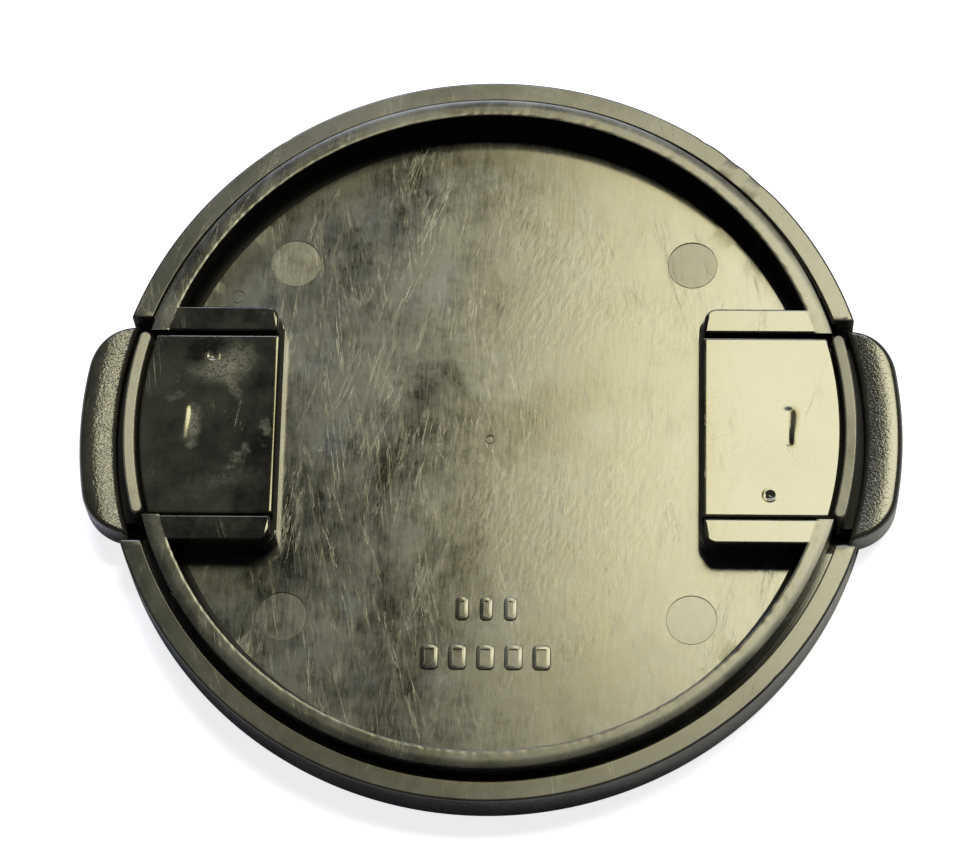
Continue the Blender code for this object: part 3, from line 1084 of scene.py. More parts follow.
@dataclass
class BackBody:
    """The inner moulding: floor, spigot ring and the two slider housings.

    Attributes:
        floor_top: The height of the floor.
        ring_top: The height of the spigot ring.
        lip_radius: The floor's outer radius, inside the shell.
        ring_radius: The ring's outer radius.
        ring_bore: The ring's inner radius.
        foot: The radius of the fillet between floor and ring.
        channel: Half the width of the channel that a tab slides in.
        housing: Half the width of a housing.
        inner_end: Where a housing begins in X.
        rail_end: Where its rails begin.
        window: Where its channel begins.
        end_wall_top: The height of the wall between the rails' ends.
        pin_mark: The place of the pin mark in the upper right quarter.
        steps: How many flats the turned floor and ring have.
    """

    floor_top: float = 2.6 * MM
    ring_top: float = 6.0 * MM
    lip_radius: float = 28.9 * MM
    ring_radius: float = 28.25 * MM
    ring_bore: float = 26.86 * MM
    foot: float = 0.8 * MM
    channel: float = 7.84 * MM
    housing: float = 9.9 * MM
    inner_end: float = 16.6 * MM
    rail_end: float = 17.0 * MM
    window: float = 17.5 * MM
    end_wall_top: float = 4.5 * MM
    pin_mark: Point2 = (16.07 * MM, 15.1 * MM)
    steps: int = 720

    def build(
        self,
        floor: bpy.types.Material,
        housing: bpy.types.Material,
        ring: bpy.types.Material,
        pin: bpy.types.Material,
        recess: bpy.types.Material,
    ) -> bpy.types.Object:
        """Makes the moulding and puts it in place of its CAD node.

        Args:
            floor: The finish of the floor.
            housing: The finish of the two slider housings.
            ring: The finish of the spigot ring.
            pin: The finish that the ejector pins leave.
            recess: The painted shade on the ring's inner wall, the fillet at its foot and the low walls
                between a housing's rails: plain black with no dust and a weak reflection.

        Returns:
            The finished moulding.
        """
        moulding = Moulding("back_moulding", turned(self._profile(), self.steps))
        for side in Side:
            self._add_housing(moulding, side)
        self._add_marks(moulding)
        body = moulding.finish(wear=self._burrs)
        dress(body, floor, "cap_body", ("back_body",))
        for finish in (housing, ring, pin, recess):
            body.data.materials.append(finish)
        self._mark_zones(body)
        return body

    def _mark_zones(self, body: bpy.types.Object) -> None:
        """Gives the housings, the ring and the pin marks their own finishes, and paints shade on the
        ring's inner wall, the fillet and the low walls between the rails.
        """
        # The recess material is painted shade: the ring's inner wall, the fillet at its foot and the
        # low walls between the rails get it so that they read dark.
        housing, ring, pin, recess = 1, 2, 3, 4
        hair = 0.02 * MM
        near = 0.1 * MM
        for face in body.data.polygons:
            centre = face.center
            x, y = abs(centre.x), abs(centre.y)
            radius = math.hypot(x, y)
            if radius > self.ring_bore - hair and centre.z > self.floor_top:
                inner_wall = radius < self.ring_bore + hair and centre.z < self.ring_top - 2.0 * near
                face.material_index = recess if inner_wall else ring
            elif radius > self.ring_bore - self.foot and centre.z > self.floor_top + 0.005 * MM:
                face.material_index = recess
            if x > self.inner_end - near and y < self.housing + near:
                if radius < self.ring_bore - hair and centre.z > self.floor_top + near:
                    low = centre.z < self.end_wall_top + near and y < self.channel + near
                    face.material_index = recess if low else housing
            elif 2.3 * MM < centre.z < self.floor_top - 0.004 * MM:
                if math.hypot(x - self.pin_mark[0], y - self.pin_mark[1]) < 2.1 * MM:
                    face.material_index = pin

    def _profile(self) -> list[Point2]:
        """The turned profile of floor and ring."""
        outer_edge = 0.08 * MM
        inner_edge = 0.07 * MM
        outer = (self.ring_radius - outer_edge, self.ring_top - outer_edge)
        inner = (self.ring_bore + inner_edge, self.ring_top - inner_edge)
        fillet = (self.ring_bore - self.foot, self.floor_top + self.foot)
        middle = 0.5 * (self.ring_radius + self.ring_bore)
        profile = [(0.0, UNDERSIDE), (self.lip_radius, UNDERSIDE)]
        profile += [(self.lip_radius, self.floor_top), (self.ring_radius, self.floor_top)]
        profile += arc(outer, outer_edge, 0.0, 90.0, 3)
        profile += [(middle, self.ring_top), (self.ring_bore + 0.3 * MM, self.ring_top)]
        profile += arc(inner, inner_edge, 90.0, 180.0, 3)
        profile += [(self.ring_bore, 4.4 * MM)]
        profile += arc(fillet, self.foot, 0.0, -90.0, 8)
        profile += [(radius * MM, self.floor_top) for radius in (22.0, 14.0, 6.0)]
        profile += [(0.0, self.floor_top)]
        return profile

    def _add_housing(self, moulding: Moulding, side: Side) -> None:
        """Joins one side's rails and end wall, and cuts the channel that the tab slides in."""
        far = 26.2 * MM
        half = self.housing
        buried = 2.0 * MM
        corner = 1.3 * MM
        start = self.inner_end
        base = [(start, -half, corner), (far, -half, 0.0), (far, half, 0.0), (start, half, corner)]
        joins = [prism(rounded_outline(base), buried, self.end_wall_top, 0.12 * MM, 2)]
        low = -1.0 * MM
        channel = box_outline((self.window, -self.channel), (BEYOND, self.channel))
        opening = box_outline((0.985 * self.ring_bore, -SLOT_HALF_WIDTH), (BEYOND, SLOT_HALF_WIDTH))
        cuts = [
            prism(channel, low, 9.0 * MM),
            prism(opening, low, self.floor_top + 0.02 * MM),
        ]
        posts = []
        for sign in (-1.0, 1.0):
            corners = [
                (self.rail_end, sign * self.channel, 0.12 * MM),
                (far, sign * self.channel, 0.0),
                (far, sign * half, 0.0),
                (self.rail_end, sign * half, 1.0 * MM),
            ]
            rail = rounded_outline(corners if sign > 0 else list(reversed(corners)))
            joins.append(prism(rail, buried, self.ring_top, 0.18 * MM))
            pocket = mirrored_box((17.2 * MM, 24.3 * MM), (6.64 * MM, 9.1 * MM), sign)
            cuts.append(prism(pocket, low, 2.5 * MM))
            posts.append(spring_post(self.window - 0.4 * MM, self.window + 1.4 * MM, sign))
        for step, solids in ((moulding.add, joins), (moulding.cut, cuts), (moulding.add, posts)):
            for solid in solids:
                solid.transform(side.turn)
                step(solid)

    def _add_marks(self, moulding: Moulding) -> None:
        """The ejector-pin marks, the gate mark and the plain raised frames of the moulder."""
        pin = [(0.0, -0.05), (1.95, -0.05), (1.97, -0.1), (2.04, -0.1), (2.04, 0.6), (0.0, 0.6)]
        leans = {(-1, 1): (0.9, 1.3), (1, 1): (-0.6, -0.9), (-1, -1): (0.25, 0.3), (1, -1): (-0.2, 0.3)}
        for (x_sign, y_sign), (about_x, about_y) in leans.items():
            tool = turned([(radius * MM, height * MM) for radius, height in pin], 96)
            tool.transform(Matrix.Rotation(math.radians(about_y), 4, "Y"))
            tool.transform(Matrix.Rotation(math.radians(about_x), 4, "X"))
            place = (x_sign * self.pin_mark[0], y_sign * self.pin_mark[1], self.floor_top)
            tool.transform(Matrix.Translation(place))
            moulding.cut(tool)
        middle = (0.0, 0.0)
        gate = [(0.28, -0.2), (0.34, 0.08), (0.42, 0.08), (0.52, -0.2)]
        gate_pit = [(0.0, -0.12), (0.0, 0.4), (0.3, 0.4), (0.24, -0.12)]
        gate_tip = [(0.0, -0.3), (0.0, -0.05), (0.09, -0.06), (0.12, -0.3)]
        groove = [(0.46, -0.06), (0.46, 0.5), (0.6, 0.5), (0.6, -0.06)]
        moulding.add(self._ring_tool(gate, middle, 40))
        moulding.cut(self._ring_tool(gate_pit, middle, 40))
        moulding.add(self._ring_tool(gate_tip, middle, 24))
        moulding.cut(self._ring_tool(groove, (-20.7 * MM, 12.1 * MM), 40))
        rows = ((-14.3, 3, 1.9, 1.05, 1.95), (-18.3, 5, 2.2, 1.45, 2.05))
        for row_y, count, pitch, width, depth in rows:
            for index in range(count):
                centre = ((index - 0.5 * (count - 1)) * pitch, row_y)
                self._add_frame(moulding, centre, (width, depth))

    def _add_frame(self, moulding: Moulding, centre: Point2, size: Point2) -> None:
        """Adds one raised frame with rounded corners to the floor.

        Args:
            moulding: The moulding.
            centre: The frame's middle in the plan, in millimetres.
            size: Its width and depth in millimetres.
        """
        border = 0.36
        corner = 0.4
        outlines = []
        for inset in (0.0, border):
            half = (0.5 * size[0] - inset, 0.5 * size[1] - inset)
            low = ((centre[0] - half[0]) * MM, (centre[1] - half[1]) * MM)
            high = ((centre[0] + half[0]) * MM, (centre[1] + half[1]) * MM)
            outlines.append(box_outline(low, high, (corner - inset) * MM))
        frame_top = self.floor_top + 0.13 * MM
        moulding.add(prism(outlines[0], 2.0 * MM, frame_top, 0.08 * MM))
        moulding.cut(prism(outlines[1], self.floor_top - 0.01 * MM, 4.0 * MM))

    def _ring_tool(self, section: Sequence[Point2], centre: Point2, steps: int) -> bmesh.types.BMesh:
        """A small turned solid on the floor.

        Args:
            section: Its section, as radius and height above the floor in millimetres.
            centre: Its centre in the cap's plan.
            steps: How many flats one turn has.

        Returns:
            A closed builder.
        """
        profile = [(radius * MM, self.floor_top + height * MM) for radius, height in section]
        solid = turned(profile, steps)
        solid.transform(Matrix.Translation((*centre, 0.0)))
        return solid

    def _burrs(self, places: np.ndarray) -> np.ndarray:
        """Small burrs and dents along the ring's inner top edge, and a faint wave on its top."""
        radius = np.hypot(places[:, 0], places[:, 1])
        angle = np.degrees(np.arctan2(places[:, 1], places[:, 0]))
        near_edge = np.exp(-(((radius - self.ring_bore) / (0.2 * MM)) ** 2))
        near_top = np.clip((places[:, 2] - 5.3 * MM) / (0.6 * MM), 0.0, 1.0)
        fine = np.array([ripple(a, 1.0, 7.0, 0.9) for a in angle])
        broad = np.array([ripple(a, 4.0, 2.0, 6.0) for a in angle])
        burr = np.clip(fine, 0.0, 1.0) ** 2 * (0.35 + 0.65 * np.clip(broad + 0.35, 0.0, 1.0))
        on_ring = (radius > self.ring_bore - 0.05 * MM) * near_top * near_edge
        moved = places.copy()
        moved[:, :2] *= (1.0 - 0.2 * MM * burr * on_ring / np.maximum(radius, 1.0 * MM))[:, None]
        moved[:, 2] -= 0.05 * MM * np.clip(-fine, 0.0, 1.0) * on_ring
        return moved


@dataclass
class PinchTab:
    """One pinch tab: slider plate, spring carrier, neck, catch rib and finger grip.

    Attributes:
        side: The side of the cap that the tab is on.
        half_width: Half the slider's width.
        plate_inner: The plate's inner end.
        plate_radius: The radius of the plate's outer end.
        plate_top: The height of the plate.
        plate_underside: The height of the plate's lower face.
        neck_top: The height of the neck that joins plate, rib and grip.
        rib: The catch rib's inner and outer radius.
        rib_top: The height of the rib.
        rib_half_width: Half the rib's width in Y.
        grip: The grip's inner and outer radius.
        grip_half_width: Half the grip's width in Y.
        grip_corner: The radius of the grip's outer corners.
        wall: The thickness of the carrier's walls.
        gate: The place of the gate mark on the plate.
        sink_x: Where the sink mark lies in X.
    """

    side: Side
    half_width: float = 7.6 * MM
    plate_inner: float = 16.85 * MM
    plate_radius: float = 27.75 * MM
    plate_top: float = 5.65 * MM
    plate_underside: float = 4.8 * MM
    neck_top: float = 3.1 * MM
    rib: Point2 = (28.05 * MM, 29.0 * MM)
    rib_top: float = 6.0 * MM
    rib_half_width: float = 7.7 * MM
    grip: Point2 = (29.7 * MM, 32.7 * MM)
    grip_half_width: float = 8.85 * MM
    grip_corner: float = 4.1 * MM
    wall: float = 1.2 * MM
    gate: Point2 = (22.15 * MM, -5.73 * MM)
    sink_x: float = 23.6 * MM

    def build(
        self,
        plate_finish: bpy.types.Material,
        grip_finish: bpy.types.Material,
        edge_finish: bpy.types.Material,
        painted_recess_shade: bpy.types.Material,
    ) -> bpy.types.Object:
        """Makes the tab and puts it in place of its CAD node.

        Args:
            plate_finish: The glossy finish of the slider plate.
            grip_finish: The pebbled finish of the grip's face.
            edge_finish: The satin finish of the rib and the grip's border.
            painted_recess_shade: The painted shade on the carrier and the neck below the plate: plain
                black with no dust and a weak reflection.

        Returns:
            The finished tab.
        """
        moulding = Moulding(f"{self.side.label}_pinch_tab", self._plate())
        for solid in (*self._carrier(), self._rib(), self._grip()):
            moulding.add(solid)
        tab = moulding.finish()
        tab.data.transform(self.side.turn)
        node = f"{self.side.label}_tab"
        dress(tab, plate_finish, node, (node,))
        for finish in (grip_finish, edge_finish, painted_recess_shade):
            tab.data.materials.append(finish)
        self._mark_grip(tab)
        return tab

    def _plate(self) -> bmesh.types.BMesh:
        """The slider plate: nearly flat, with its gate mark and the sink mark over its wall."""
        phase = 3.0 if self.side is Side.LEFT else 11.0

        def surface(x: np.ndarray, y: np.ndarray, distance: np.ndarray) -> np.ndarray:
            """The plate's height at each place."""
            wave = 0.012 * MM * ripple_grid(x, y, 7.0 * MM, phase)
            gate = np.hypot(x - self.gate[0], y - self.gate[1])
            ring = 0.03 * MM * np.exp(-(((gate - 0.4 * MM) / (0.12 * MM)) ** 2))
            pit = -0.14 * MM * np.exp(-((gate / (0.24 * MM)) ** 2))
            halo = -0.01 * MM * np.exp(-((gate / (2.0 * MM)) ** 4))
            along = np.clip(np.abs(y) - 1.2 * MM, 0.0, None) / (0.45 * MM)
            across = (x - self.sink_x) / (0.44 * MM * (1.0 + 0.3 * np.sin(y / (0.6 * MM))))
            sink = -0.045 * MM * np.exp(-(across**2) - along**2)
            return self.plate_top - rounded_drop(distance, 0.2 * MM) + wave + ring + pit + sink + halo

        return height_pad(
            lambda y: self.plate_inner,
            lambda y: math.sqrt(self.plate_radius**2 - y**2),
            self.half_width,
            self.plate_underside,
            surface,
            0.14 * MM,
        )

    def _carrier(self) -> list[bmesh.types.BMesh]:
        """The walls under the plate, the keepers, the spring posts and the neck to the grip."""
        inner = self.half_width - self.wall
        start = 19.2 * MM
        spring_wall = 25.3 * MM
        end = 26.5 * MM
        joined = 5.2 * MM
        walls = [
            (start, -self.half_width),
            (end, -self.half_width),
            (end, self.half_width),
            (start, self.half_width),
            (start, inner),
            (spring_wall, inner),
            (spring_wall, -inner),
            (start, -inner),
        ]
        neck = box_outline((25.9 * MM, -self.half_width), (31.1 * MM, self.half_width))
        solids = [prism(walls, UNDERSIDE, joined), prism(neck, UNDERSIDE, self.neck_top)]
        for sign in (-1.0, 1.0):
            keeper = mirrored_box((start, 24.0 * MM), (inner, 8.8 * MM), sign)
            solids.append(prism(keeper, UNDERSIDE, 2.2 * MM, top_round=0.1 * MM))
            solids.append(spring_post(spring_wall - 1.4 * MM, spring_wall + 0.6 * MM, sign))
        return solids

    def _rib(self) -> bmesh.types.BMesh:
        """The thin catch rib that takes hold of the lens thread."""
        inner, outer = self.rib
        middle = 0.5 * (inner + outer)
        end_radius = 0.5 * (outer - inner)
        reach = math.asin((self.rib_half_width - end_radius) / middle)
        degrees = math.degrees(reach)
        outline = arc((0.0, 0.0), outer, -degrees, degrees, 60)
        tip = (middle * math.cos(reach), middle * math.sin(reach))
        outline += arc(tip, end_radius, degrees, degrees + 180.0, 8)[1:]
        outline += arc((0.0, 0.0), inner, degrees, -degrees, 60)[1:]
        outline += arc((tip[0], -tip[1]), end_radius, 180.0 - degrees, 360.0 - degrees, 8)[1:-1]
        slant = 0.075
        rib = prism(outline, 2.2 * MM, self.rib_top, top_round=0.15 * MM)
        for vert in rib.verts:
            if vert.co.z > self.rib_top - 0.2 * MM:
                vert.co.z -= slant * (outer - math.hypot(vert.co.x, vert.co.y))
        return rib

    def _grip_reach(self, y: float) -> float:
        """How far the grip reaches in X at a given Y."""
        corner = self.grip_corner
        centre_y = self.grip_half_width - corner
        centre_x = math.sqrt((self.grip[1] - corner) ** 2 - centre_y**2)
        touch_y = centre_y * self.grip[1] / (self.grip[1] - corner)
        if abs(y) <= touch_y:
            return math.sqrt(self.grip[1] ** 2 - y**2)
        rise = min(abs(y) - centre_y, corner)
        least = self._grip_inner(y) + 0.1 * MM
        return max(centre_x + math.sqrt(max(corner**2 - rise**2, 0.0)), least)

    def _grip_inner(self, y: float) -> float:
        """Where the grip begins in X at a given Y."""
        return math.sqrt(self.grip[0] ** 2 - y**2)

    def _grip(self) -> bmesh.types.BMesh:
        """The finger grip: a pebbled, slightly domed face that turns smooth towards its border."""
        phase = 5.0 if self.side is Side.LEFT else 21.0
        peak = 0.64
        crown = FLANGE_TOP - 0.04 * MM

        def surface(x: np.ndarray, y: np.ndarray, distance: np.ndarray) -> np.ndarray:
            """The grip's height at each place."""
            share = (np.hypot(x, y) - self.grip[0]) / (self.grip[1] - self.grip[0])
            share = np.clip(share, 0.0, 1.0)
            pillow = share - share**3 / (3.0 * peak**2) - 2.0 * peak / 3.0
            border = rounded_drop(distance, 0.42 * MM)
            inside = np.clip((distance - 0.5 * MM) / (0.7 * MM), 0.0, 1.0)
            pebble = 0.018 * MM * ripple_grid(x, y, 0.21 * MM, phase) * inside
            return crown + 0.75 * MM * pillow - border + pebble

        return height_pad(
            self._grip_inner,
            self._grip_reach,
            self.grip_half_width,
            UNDERSIDE,
            surface,
            0.085 * MM,
        )

    def _mark_grip(self, tab: bpy.types.Object) -> None:
        """Gives the grip's face and the rib their own finishes, and paints shade on the parts below the
        plate.
        """
        # recess is painted shade, for the neck and the carrier below the plate.
        grip, edge, recess = 1, 2, 3
        hair = 0.05 * MM
        for face in tab.data.polygons:
            centre = face.center
            radius = math.hypot(centre.x, centre.y)
            hidden = centre.z < 3.6 * MM or radius > self.rib[1] + hair
            if radius > self.grip[0] + hair and centre.z > 3.9 * MM:
                face.material_index = grip
            elif radius < self.grip[0] + hair and hidden:
                face.material_index = recess
            elif radius > self.plate_radius + 2.0 * hair:
                face.material_index = edge


@dataclass
class ReturnSpring:
    """One coil spring, built at one fixed length.

    Attributes:
        side: The side of the cap that the spring is on.
        row: The spring's place on that side, upper or lower.
        travel: How far the tab moves; not used.
        start: Where the coil begins in X.
        end: Where it ends.
        coil_radius: The coil's radius to the wire's middle.
        wire: The wire's radius.
        turns: How many turns it has, the closed end turns among them.
        closed_pitch: The advance of a closed end turn.
        turn_steps: How many straight pieces one turn has.
        wire_sides: How many flats the wire has.
    """

    side: Side
    row: str
    travel: float
    start: float = 17.65 * MM
    end: float = 25.15 * MM
    coil_radius: float = 1.12 * MM
    wire: float = 0.175 * MM
    turns: int = 8
    closed_pitch: float = 0.4 * MM
    turn_steps: int = 28
    wire_sides: int = 10

    @property
    def outward(self) -> float:
        """The sign of X on the spring's side of the cap."""
        return 1.0 if self.side is Side.RIGHT else -1.0

    def build(self, finish: bpy.types.Material) -> bpy.types.Object:
        """Makes the spring and puts it in place of its CAD node."""
        builder = bmesh.new()
        steps = self.turns * self.turn_steps
        loops = [self._wire_loop(builder, step) for step in range(steps + 1)]
        for first, second in zip(loops, loops[1:]):
            for corner in range(self.wire_sides):
                after = (corner + 1) % self.wire_sides
                builder.faces.new((first[corner], first[after], second[after], second[corner]))
        builder.faces.new(loops[0])
        builder.faces.new(list(reversed(loops[-1])))
        node = f"{self.side.label}_tab_{self.row}_spring"
        spring = to_object(f"{self.side.label}_{self.row}_return_coil", builder)
        shade(spring, 60.0)
        dress(spring, finish, "cap_body", (node,))
        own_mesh(spring)
        return spring

    def _wire_loop(self, builder: bmesh.types.BMesh, step: int) -> list[bmesh.types.BMVert]:
        """One ring of points around the wire, at a step along the coil."""
        turns = step / self.turn_steps
        across = 1.0 if self.row == "upper" else -1.0
        inner_length = self.end - self.start - 2.0 * self.wire
        open_pitch = (inner_length - 2.0 * self.closed_pitch) / (self.turns - 2)
        open_turns = min(max(turns - 1.0, 0.0), self.turns - 2.0)
        advance = (turns - open_turns) * self.closed_pitch + open_turns * open_pitch
        angle = math.tau * turns
        spoke = Vector((0.0, math.cos(angle), math.sin(angle)))
        along = self.outward * (self.start + self.wire + advance)
        centre = Vector((along, across * SPRING_OFFSET, SPRING_HEIGHT)) + spoke * self.coil_radius
        loop = []
        for around in np.arange(self.wire_sides) * math.tau / self.wire_sides:
            reach = spoke * math.cos(around) + Vector((math.sin(around), 0.0, 0.0))
            loop.append(builder.verts.new(centre + reach * self.wire))
        return loop


def dress(
    item: bpy.types.Object,
    finish: bpy.types.Material,
    body: str,
    nodes: Iterable[str],
) -> None:
    """Gives a piece its finish, its body and the CAD nodes that it stands for.

    Args:
        item: The piece.
        finish: Its material.
        body: The CAD body that it moves with.
        nodes: The CAD nodes that it replaces.
    """
    item.data.materials.clear()
    item.data.materials.append(finish)
    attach(item, body)
    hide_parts(*nodes)
    LOG.info("%s: %d faces, rides on %s", item.name, len(item.data.polygons), body)


# ---------------------------------------------------------------------------------------------
# The studio
# ---------------------------------------------------------------------------------------------


@dataclass(frozen=True)
class SoftBox:
    """A rectangular studio light that looks straight down.

    Attributes:
        name: The light's name.
        centre: The middle of the panel.
        size: The panel's two sides.
        radiance: How bright the panel is.
        colour: The light's colour.
    """

    name: str
    centre: tuple[float, float, float]
    size: Point2
    radiance: float
    colour: tuple[float, float, float]

    def build(self) -> bpy.types.Object:
        """Adds the light to the scene."""
        data = bpy.data.lights.new(self.name, "AREA")
        data.shape = "RECTANGLE"
        data.size, data.size_y = self.size
        data.energy = math.pi * self.radiance * self.size[0] * self.size[1]
        data.color = self.colour
        lamp = bpy.data.objects.new(self.name, data)
        lamp.location = self.centre
        bpy.context.scene.collection.objects.link(lamp)
        return lamp


@dataclass(frozen=True)
class Studio:
    """The pale floor, the soft lights, the surroundings and the camera.

    Attributes:
        azimuth: The camera's turn about Z, in degrees from the front.
        elevation: Its height above the floor, in degrees.
        roll: Its lean, in degrees.
        distance: Its distance from the cap.
        aim: How far the cap's middle lies right of and above the view's middle.
        lens: The focal length in millimetres.
        floor_height: The height of the point that it looks at.
    """

    azimuth: float = 6.923
    elevation: float = 68.857
    roll: float = -6.074
    distance: float = 317.0 * MM
    aim: Point2 = (0.81 * MM, -0.442 * MM)
    lens: float = 149.1
    floor_height: float = 2.6 * MM

    def build(self) -> None:
        """Adds everything that surrounds the cap."""
        self._floor()
        self._surroundings()
        for light in self._lights():
            light.build()
        self._camera()

    def _lights(self) -> tuple[SoftBox, ...]:
        """The soft lights above the cap."""
        return (
            SoftBox("key_panel", (0.221, 0.32, 0.8), (0.48, 0.2), 15.8, (1.0, 0.915, 0.47)),
            SoftBox("bright_panel", (0.246, 0.31, 0.79), (0.44, 0.23), 4.0, (0.8, 0.88, 1.12)),
            SoftBox("cool_panel", (-0.12, 0.80, 0.7), (0.60, 0.40), 13.0, (0.9, 0.96, 1.06)),
        )

    def _floor(self) -> None:
        """The plain pale floor that the cap lies on."""
        builder = bmesh.new()
        bmesh.ops.create_grid(builder, x_segments=1, y_segments=1, size=1.2)
        floor = to_object("studio_floor", builder)
        floor.location.z = -0.02 * MM
        material, canvas, shader, where = blank_material("pale_floor")
        tone = canvas.cloud(where, 40.0, detail=2.0)
        pale = canvas.mix(tone, (0.74, 0.77, 0.94, 1.0), (0.76, 0.79, 0.96, 1.0))
        canvas.feed(shader.inputs["Base Color"], pale)
        shader.inputs["Roughness"].default_value = 0.9
        shader.inputs["Specular IOR Level"].default_value = 0.1
        seen = canvas.node("ShaderNodeLightPath").outputs["Is Camera Ray"]
        shader.inputs["Emission Color"].default_value = (1.0, 1.0, 1.0, 1.0)
        canvas.feed(shader.inputs["Emission Strength"], canvas.maths("MULTIPLY", seen, 0.8))
        floor.data.materials.append(material)

    def _surroundings(self) -> None:
        """A dim, even room."""
        world = bpy.data.worlds.new("dim_room")
        world.use_nodes = True
        back = world.node_tree.nodes["Background"]
        back.inputs["Color"].default_value = (0.9, 0.95, 1.0, 1.0)
        back.inputs["Strength"].default_value = 0.06
        bpy.context.scene.world = world

    def _camera(self) -> None:
        """The camera, above and in front of the cap."""
        turn = math.radians(self.azimuth)
        rise = math.radians(self.elevation)
        lean = math.radians(self.roll)
        back = Vector(
            (math.sin(turn) * math.cos(rise), -math.cos(turn) * math.cos(rise), math.sin(rise))
        )
        level = Vector((math.cos(turn), math.sin(turn), 0.0))
        upright = back.cross(level)
        right = math.cos(lean) * level + math.sin(lean) * upright
        up = math.cos(lean) * upright - math.sin(lean) * level
        target = Vector((0.0, 0.0, self.floor_height))
        data = bpy.data.cameras.new("camera")
        data.lens = self.lens
        data.sensor_width = 36.0
        data.clip_start = 0.01
        data.clip_end = 10.0
        camera = bpy.data.objects.new("camera", data)
        axes = Matrix((right, up, back)).transposed().to_4x4()
        place = target + back * self.distance - right * self.aim[0] - up * self.aim[1]
        camera.matrix_world = Matrix.Translation(place) @ axes
        bpy.context.scene.collection.objects.link(camera)
        bpy.context.scene.camera = camera


# ---------------------------------------------------------------------------------------------
# The cap's own finishes
# ---------------------------------------------------------------------------------------------

# Wiped and hazy patches on the floor, and one patch of painted light reflected from the left housing's
# end wall.
FLOOR_SMUDGES_AND_LIGHT = (
    Smudge((-5.2, 5.4), 9.5, 3.0, -16.0, -0.34, 2.2),
    Smudge((-8.0, 7.6), 3.6, 2.0, 10.0, -0.2, 3.0),
    Smudge((7.6, -13.9), 4.4, 2.4, -20.0, -0.3, 3.0),
    Smudge((2.6, -21.6), 3.2, 1.8, -30.0, -0.25, 2.0),
    Smudge((-1.8, -6.5), 13.0, 5.5, 82.0, -0.16, 1.2),
    Smudge((0.5, 12.5), 22.0, 4.2, 2.0, -0.14, 1.6),
    # Painted light: a bright patch on the floor by the left housing's inner end, standing in for light
    # that its end wall throws back.
    Smudge((-12.4, 2.8), 5.2, 2.6, -60.0, 0.35, 1.0),
    Smudge((-13.2, -4.6), 4.4, 2.2, 80.0, -0.2, 2.0),
)

# Powdery scuffs on the left plate with a painted highlight along its sink mark, and two darker patches
# on the right one, one of them painted shade over its inner end.
PLATE_SCUFFS_AND_LIGHT = (
    Smudge((-21.3, 5.2), 5.2, 3.7, 10.0, 1.3, 0.9),
    Smudge((-22.2, 5.9), 4.0, 2.7, 10.0, -1.0, 1.0),
    Smudge((-22.1, 5.6), 1.9, 1.2, 0.0, 0.7, 3.5),
    Smudge((-20.4, 3.2), 2.6, 1.0, -60.0, 0.5, 4.0),
    # Painted highlight: a bright patch along the left plate's sink mark.
    Smudge((-23.5, -0.2), 3.8, 1.3, 90.0, 1.3, 2.5),
    Smudge((-17.7, -0.6), 2.0, 0.9, 80.0, 0.7, 6.0),
    Smudge((-19.7, -2.9), 1.7, 0.9, 60.0, 0.6, 7.0),
    Smudge((-24.9, 2.2), 1.4, 0.8, 30.0, 0.4, 7.0),
    Smudge((-20.5, -4.6), 3.4, 1.6, 0.0, 0.2, 5.0),
    Smudge((-22.6, -5.4), 4.0, 2.2, 20.0, 0.14, 4.0),
    Smudge((22.0, -2.6), 9.0, 4.0, 0.0, -0.3, 1.4),
    # Painted shade: darkens the right plate towards its inner end.
    Smudge((18.0, 1.8), 3.2, 6.0, 0.0, -0.35, 1.4),
)

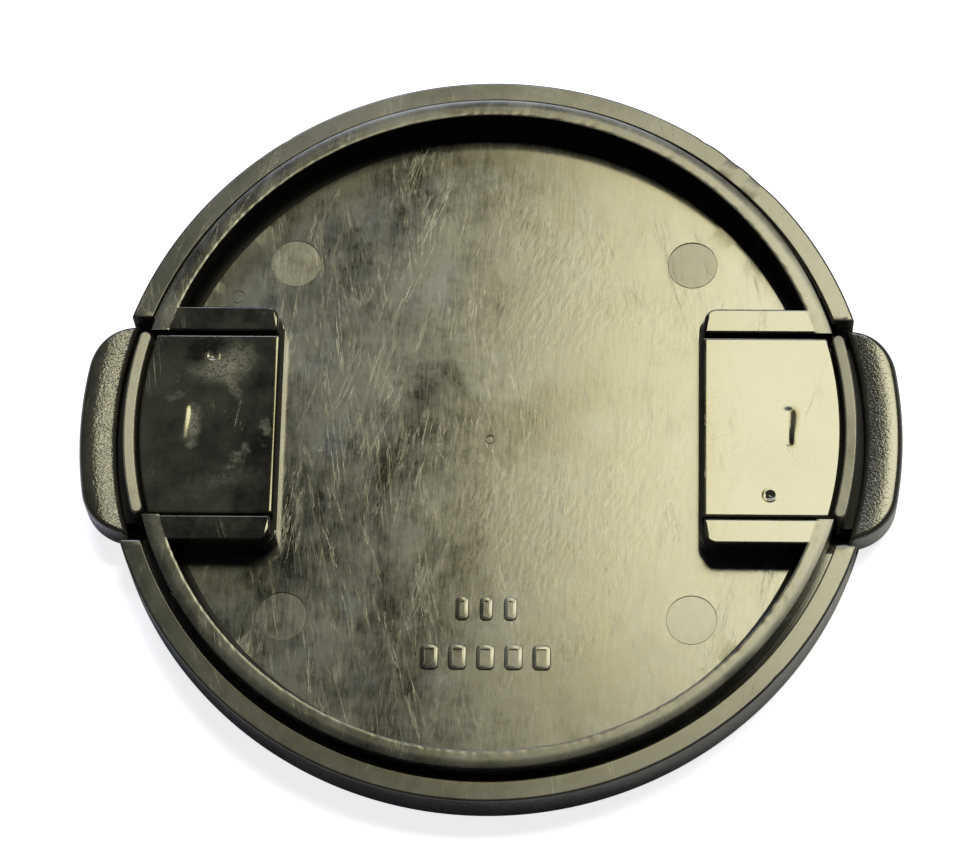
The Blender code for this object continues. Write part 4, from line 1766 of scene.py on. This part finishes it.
SHELL = PlasticFinish(
    "worn_shell_plastic",
    polish=0.2,
    dust=0.12,
    rub=0.15,
    specks=0.3,
    scratches=3e-6,
    scratch_cover=0.35,
)
FLOOR = PlasticFinish(
    "brushed_floor_plastic",
    polish=0.11,
    haze=1.0,
    film=0.84,
    mottle=0.95,
    dust=0.07,
    grease=0.45,
    brush=1.1e-6,
    brush_spacing=0.14,
    scratch_cover=0.5,
    wrinkle=6e-6,
    rub=0.3,
    specks=0.04,
    smudges=FLOOR_SMUDGES_AND_LIGHT,
)
PIN_MARK = replace(FLOOR, name="pin_mark_plastic", polish=0.15, film=1.0, brush=5e-7)
HOUSING = PlasticFinish(
    "polished_housing_plastic",
    polish=0.085,
    haze=0.4,
    film=0.12,
    mottle=0.3,
    dust=0.4,
    rub=0.45,
    specks=0.6,
)
RING = PlasticFinish(
    "worn_ring_plastic",
    polish=0.18,
    mottle=0.9,
    dust=0.15,
    rub=0.9,
    specks=0.3,
    scratches=4e-6,
    scratch_cover=0.45,
)
PLATE = PlasticFinish(
    "glossy_tab_plastic",
    polish=0.07,
    film=0.1,
    mottle=0.16,
    dust=0.7,
    specks=0.4,
    scratch_cover=0.25,
    smudges=PLATE_SCUFFS_AND_LIGHT,
)
GRIP = PlasticFinish(
    "pebbled_grip_plastic", haze=0.24, dust=0.12, pebble=4e-5, rub=0.2, pebble_size=0.17
)
EDGE = PlasticFinish(
    "satin_tab_plastic", polish=0.22, haze=0.9, film=0.8, mottle=0.7, dust=0.4, rub=0.7, specks=0.2
)
# Painted shade: plain black with no dust, no rubbed edges and a weak reflection, put on the ring's
# inner wall, the fillet at its foot, the low walls between the rails and the tab's parts below its
# plate so that they read dark.
PAINTED_SHADE_RECESS = PlasticFinish(
    "dull_recess_plastic", polish=0.5, haze=0.0, dust=0.0, rub=0.0, specks=0.0, specular=0.12
)


def main() -> None:
    """Builds the studio and every piece of the cap, in order."""
    logging.basicConfig(level=logging.INFO, format="%(name)s: %(message)s")
    bpy.context.scene.view_settings.view_transform = "Standard"
    Studio().build()
    effects = Effects()
    order = (SHELL, FLOOR, PIN_MARK, HOUSING, RING, PLATE, GRIP, EDGE, PAINTED_SHADE_RECESS)
    shell, floor, pin, housing, ring, plate, grip, edge, recess = [
        finish.build(effects) for finish in order
    ]
    wire = SpringFinish().build(effects)
    FrontShell().build(shell)
    BackBody().build(floor, housing, ring, pin, recess)
    travel = {joint["name"]: joint["range_m"][1] for joint in frame["joints"]}
    for side in Side:
        PinchTab(side).build(plate, grip, edge, recess)
        for row in ("upper", "lower"):
            ReturnSpring(side, row, travel[f"{side.label}_tab_slide"]).build(wire)


if __name__ == "__main__":
    main()
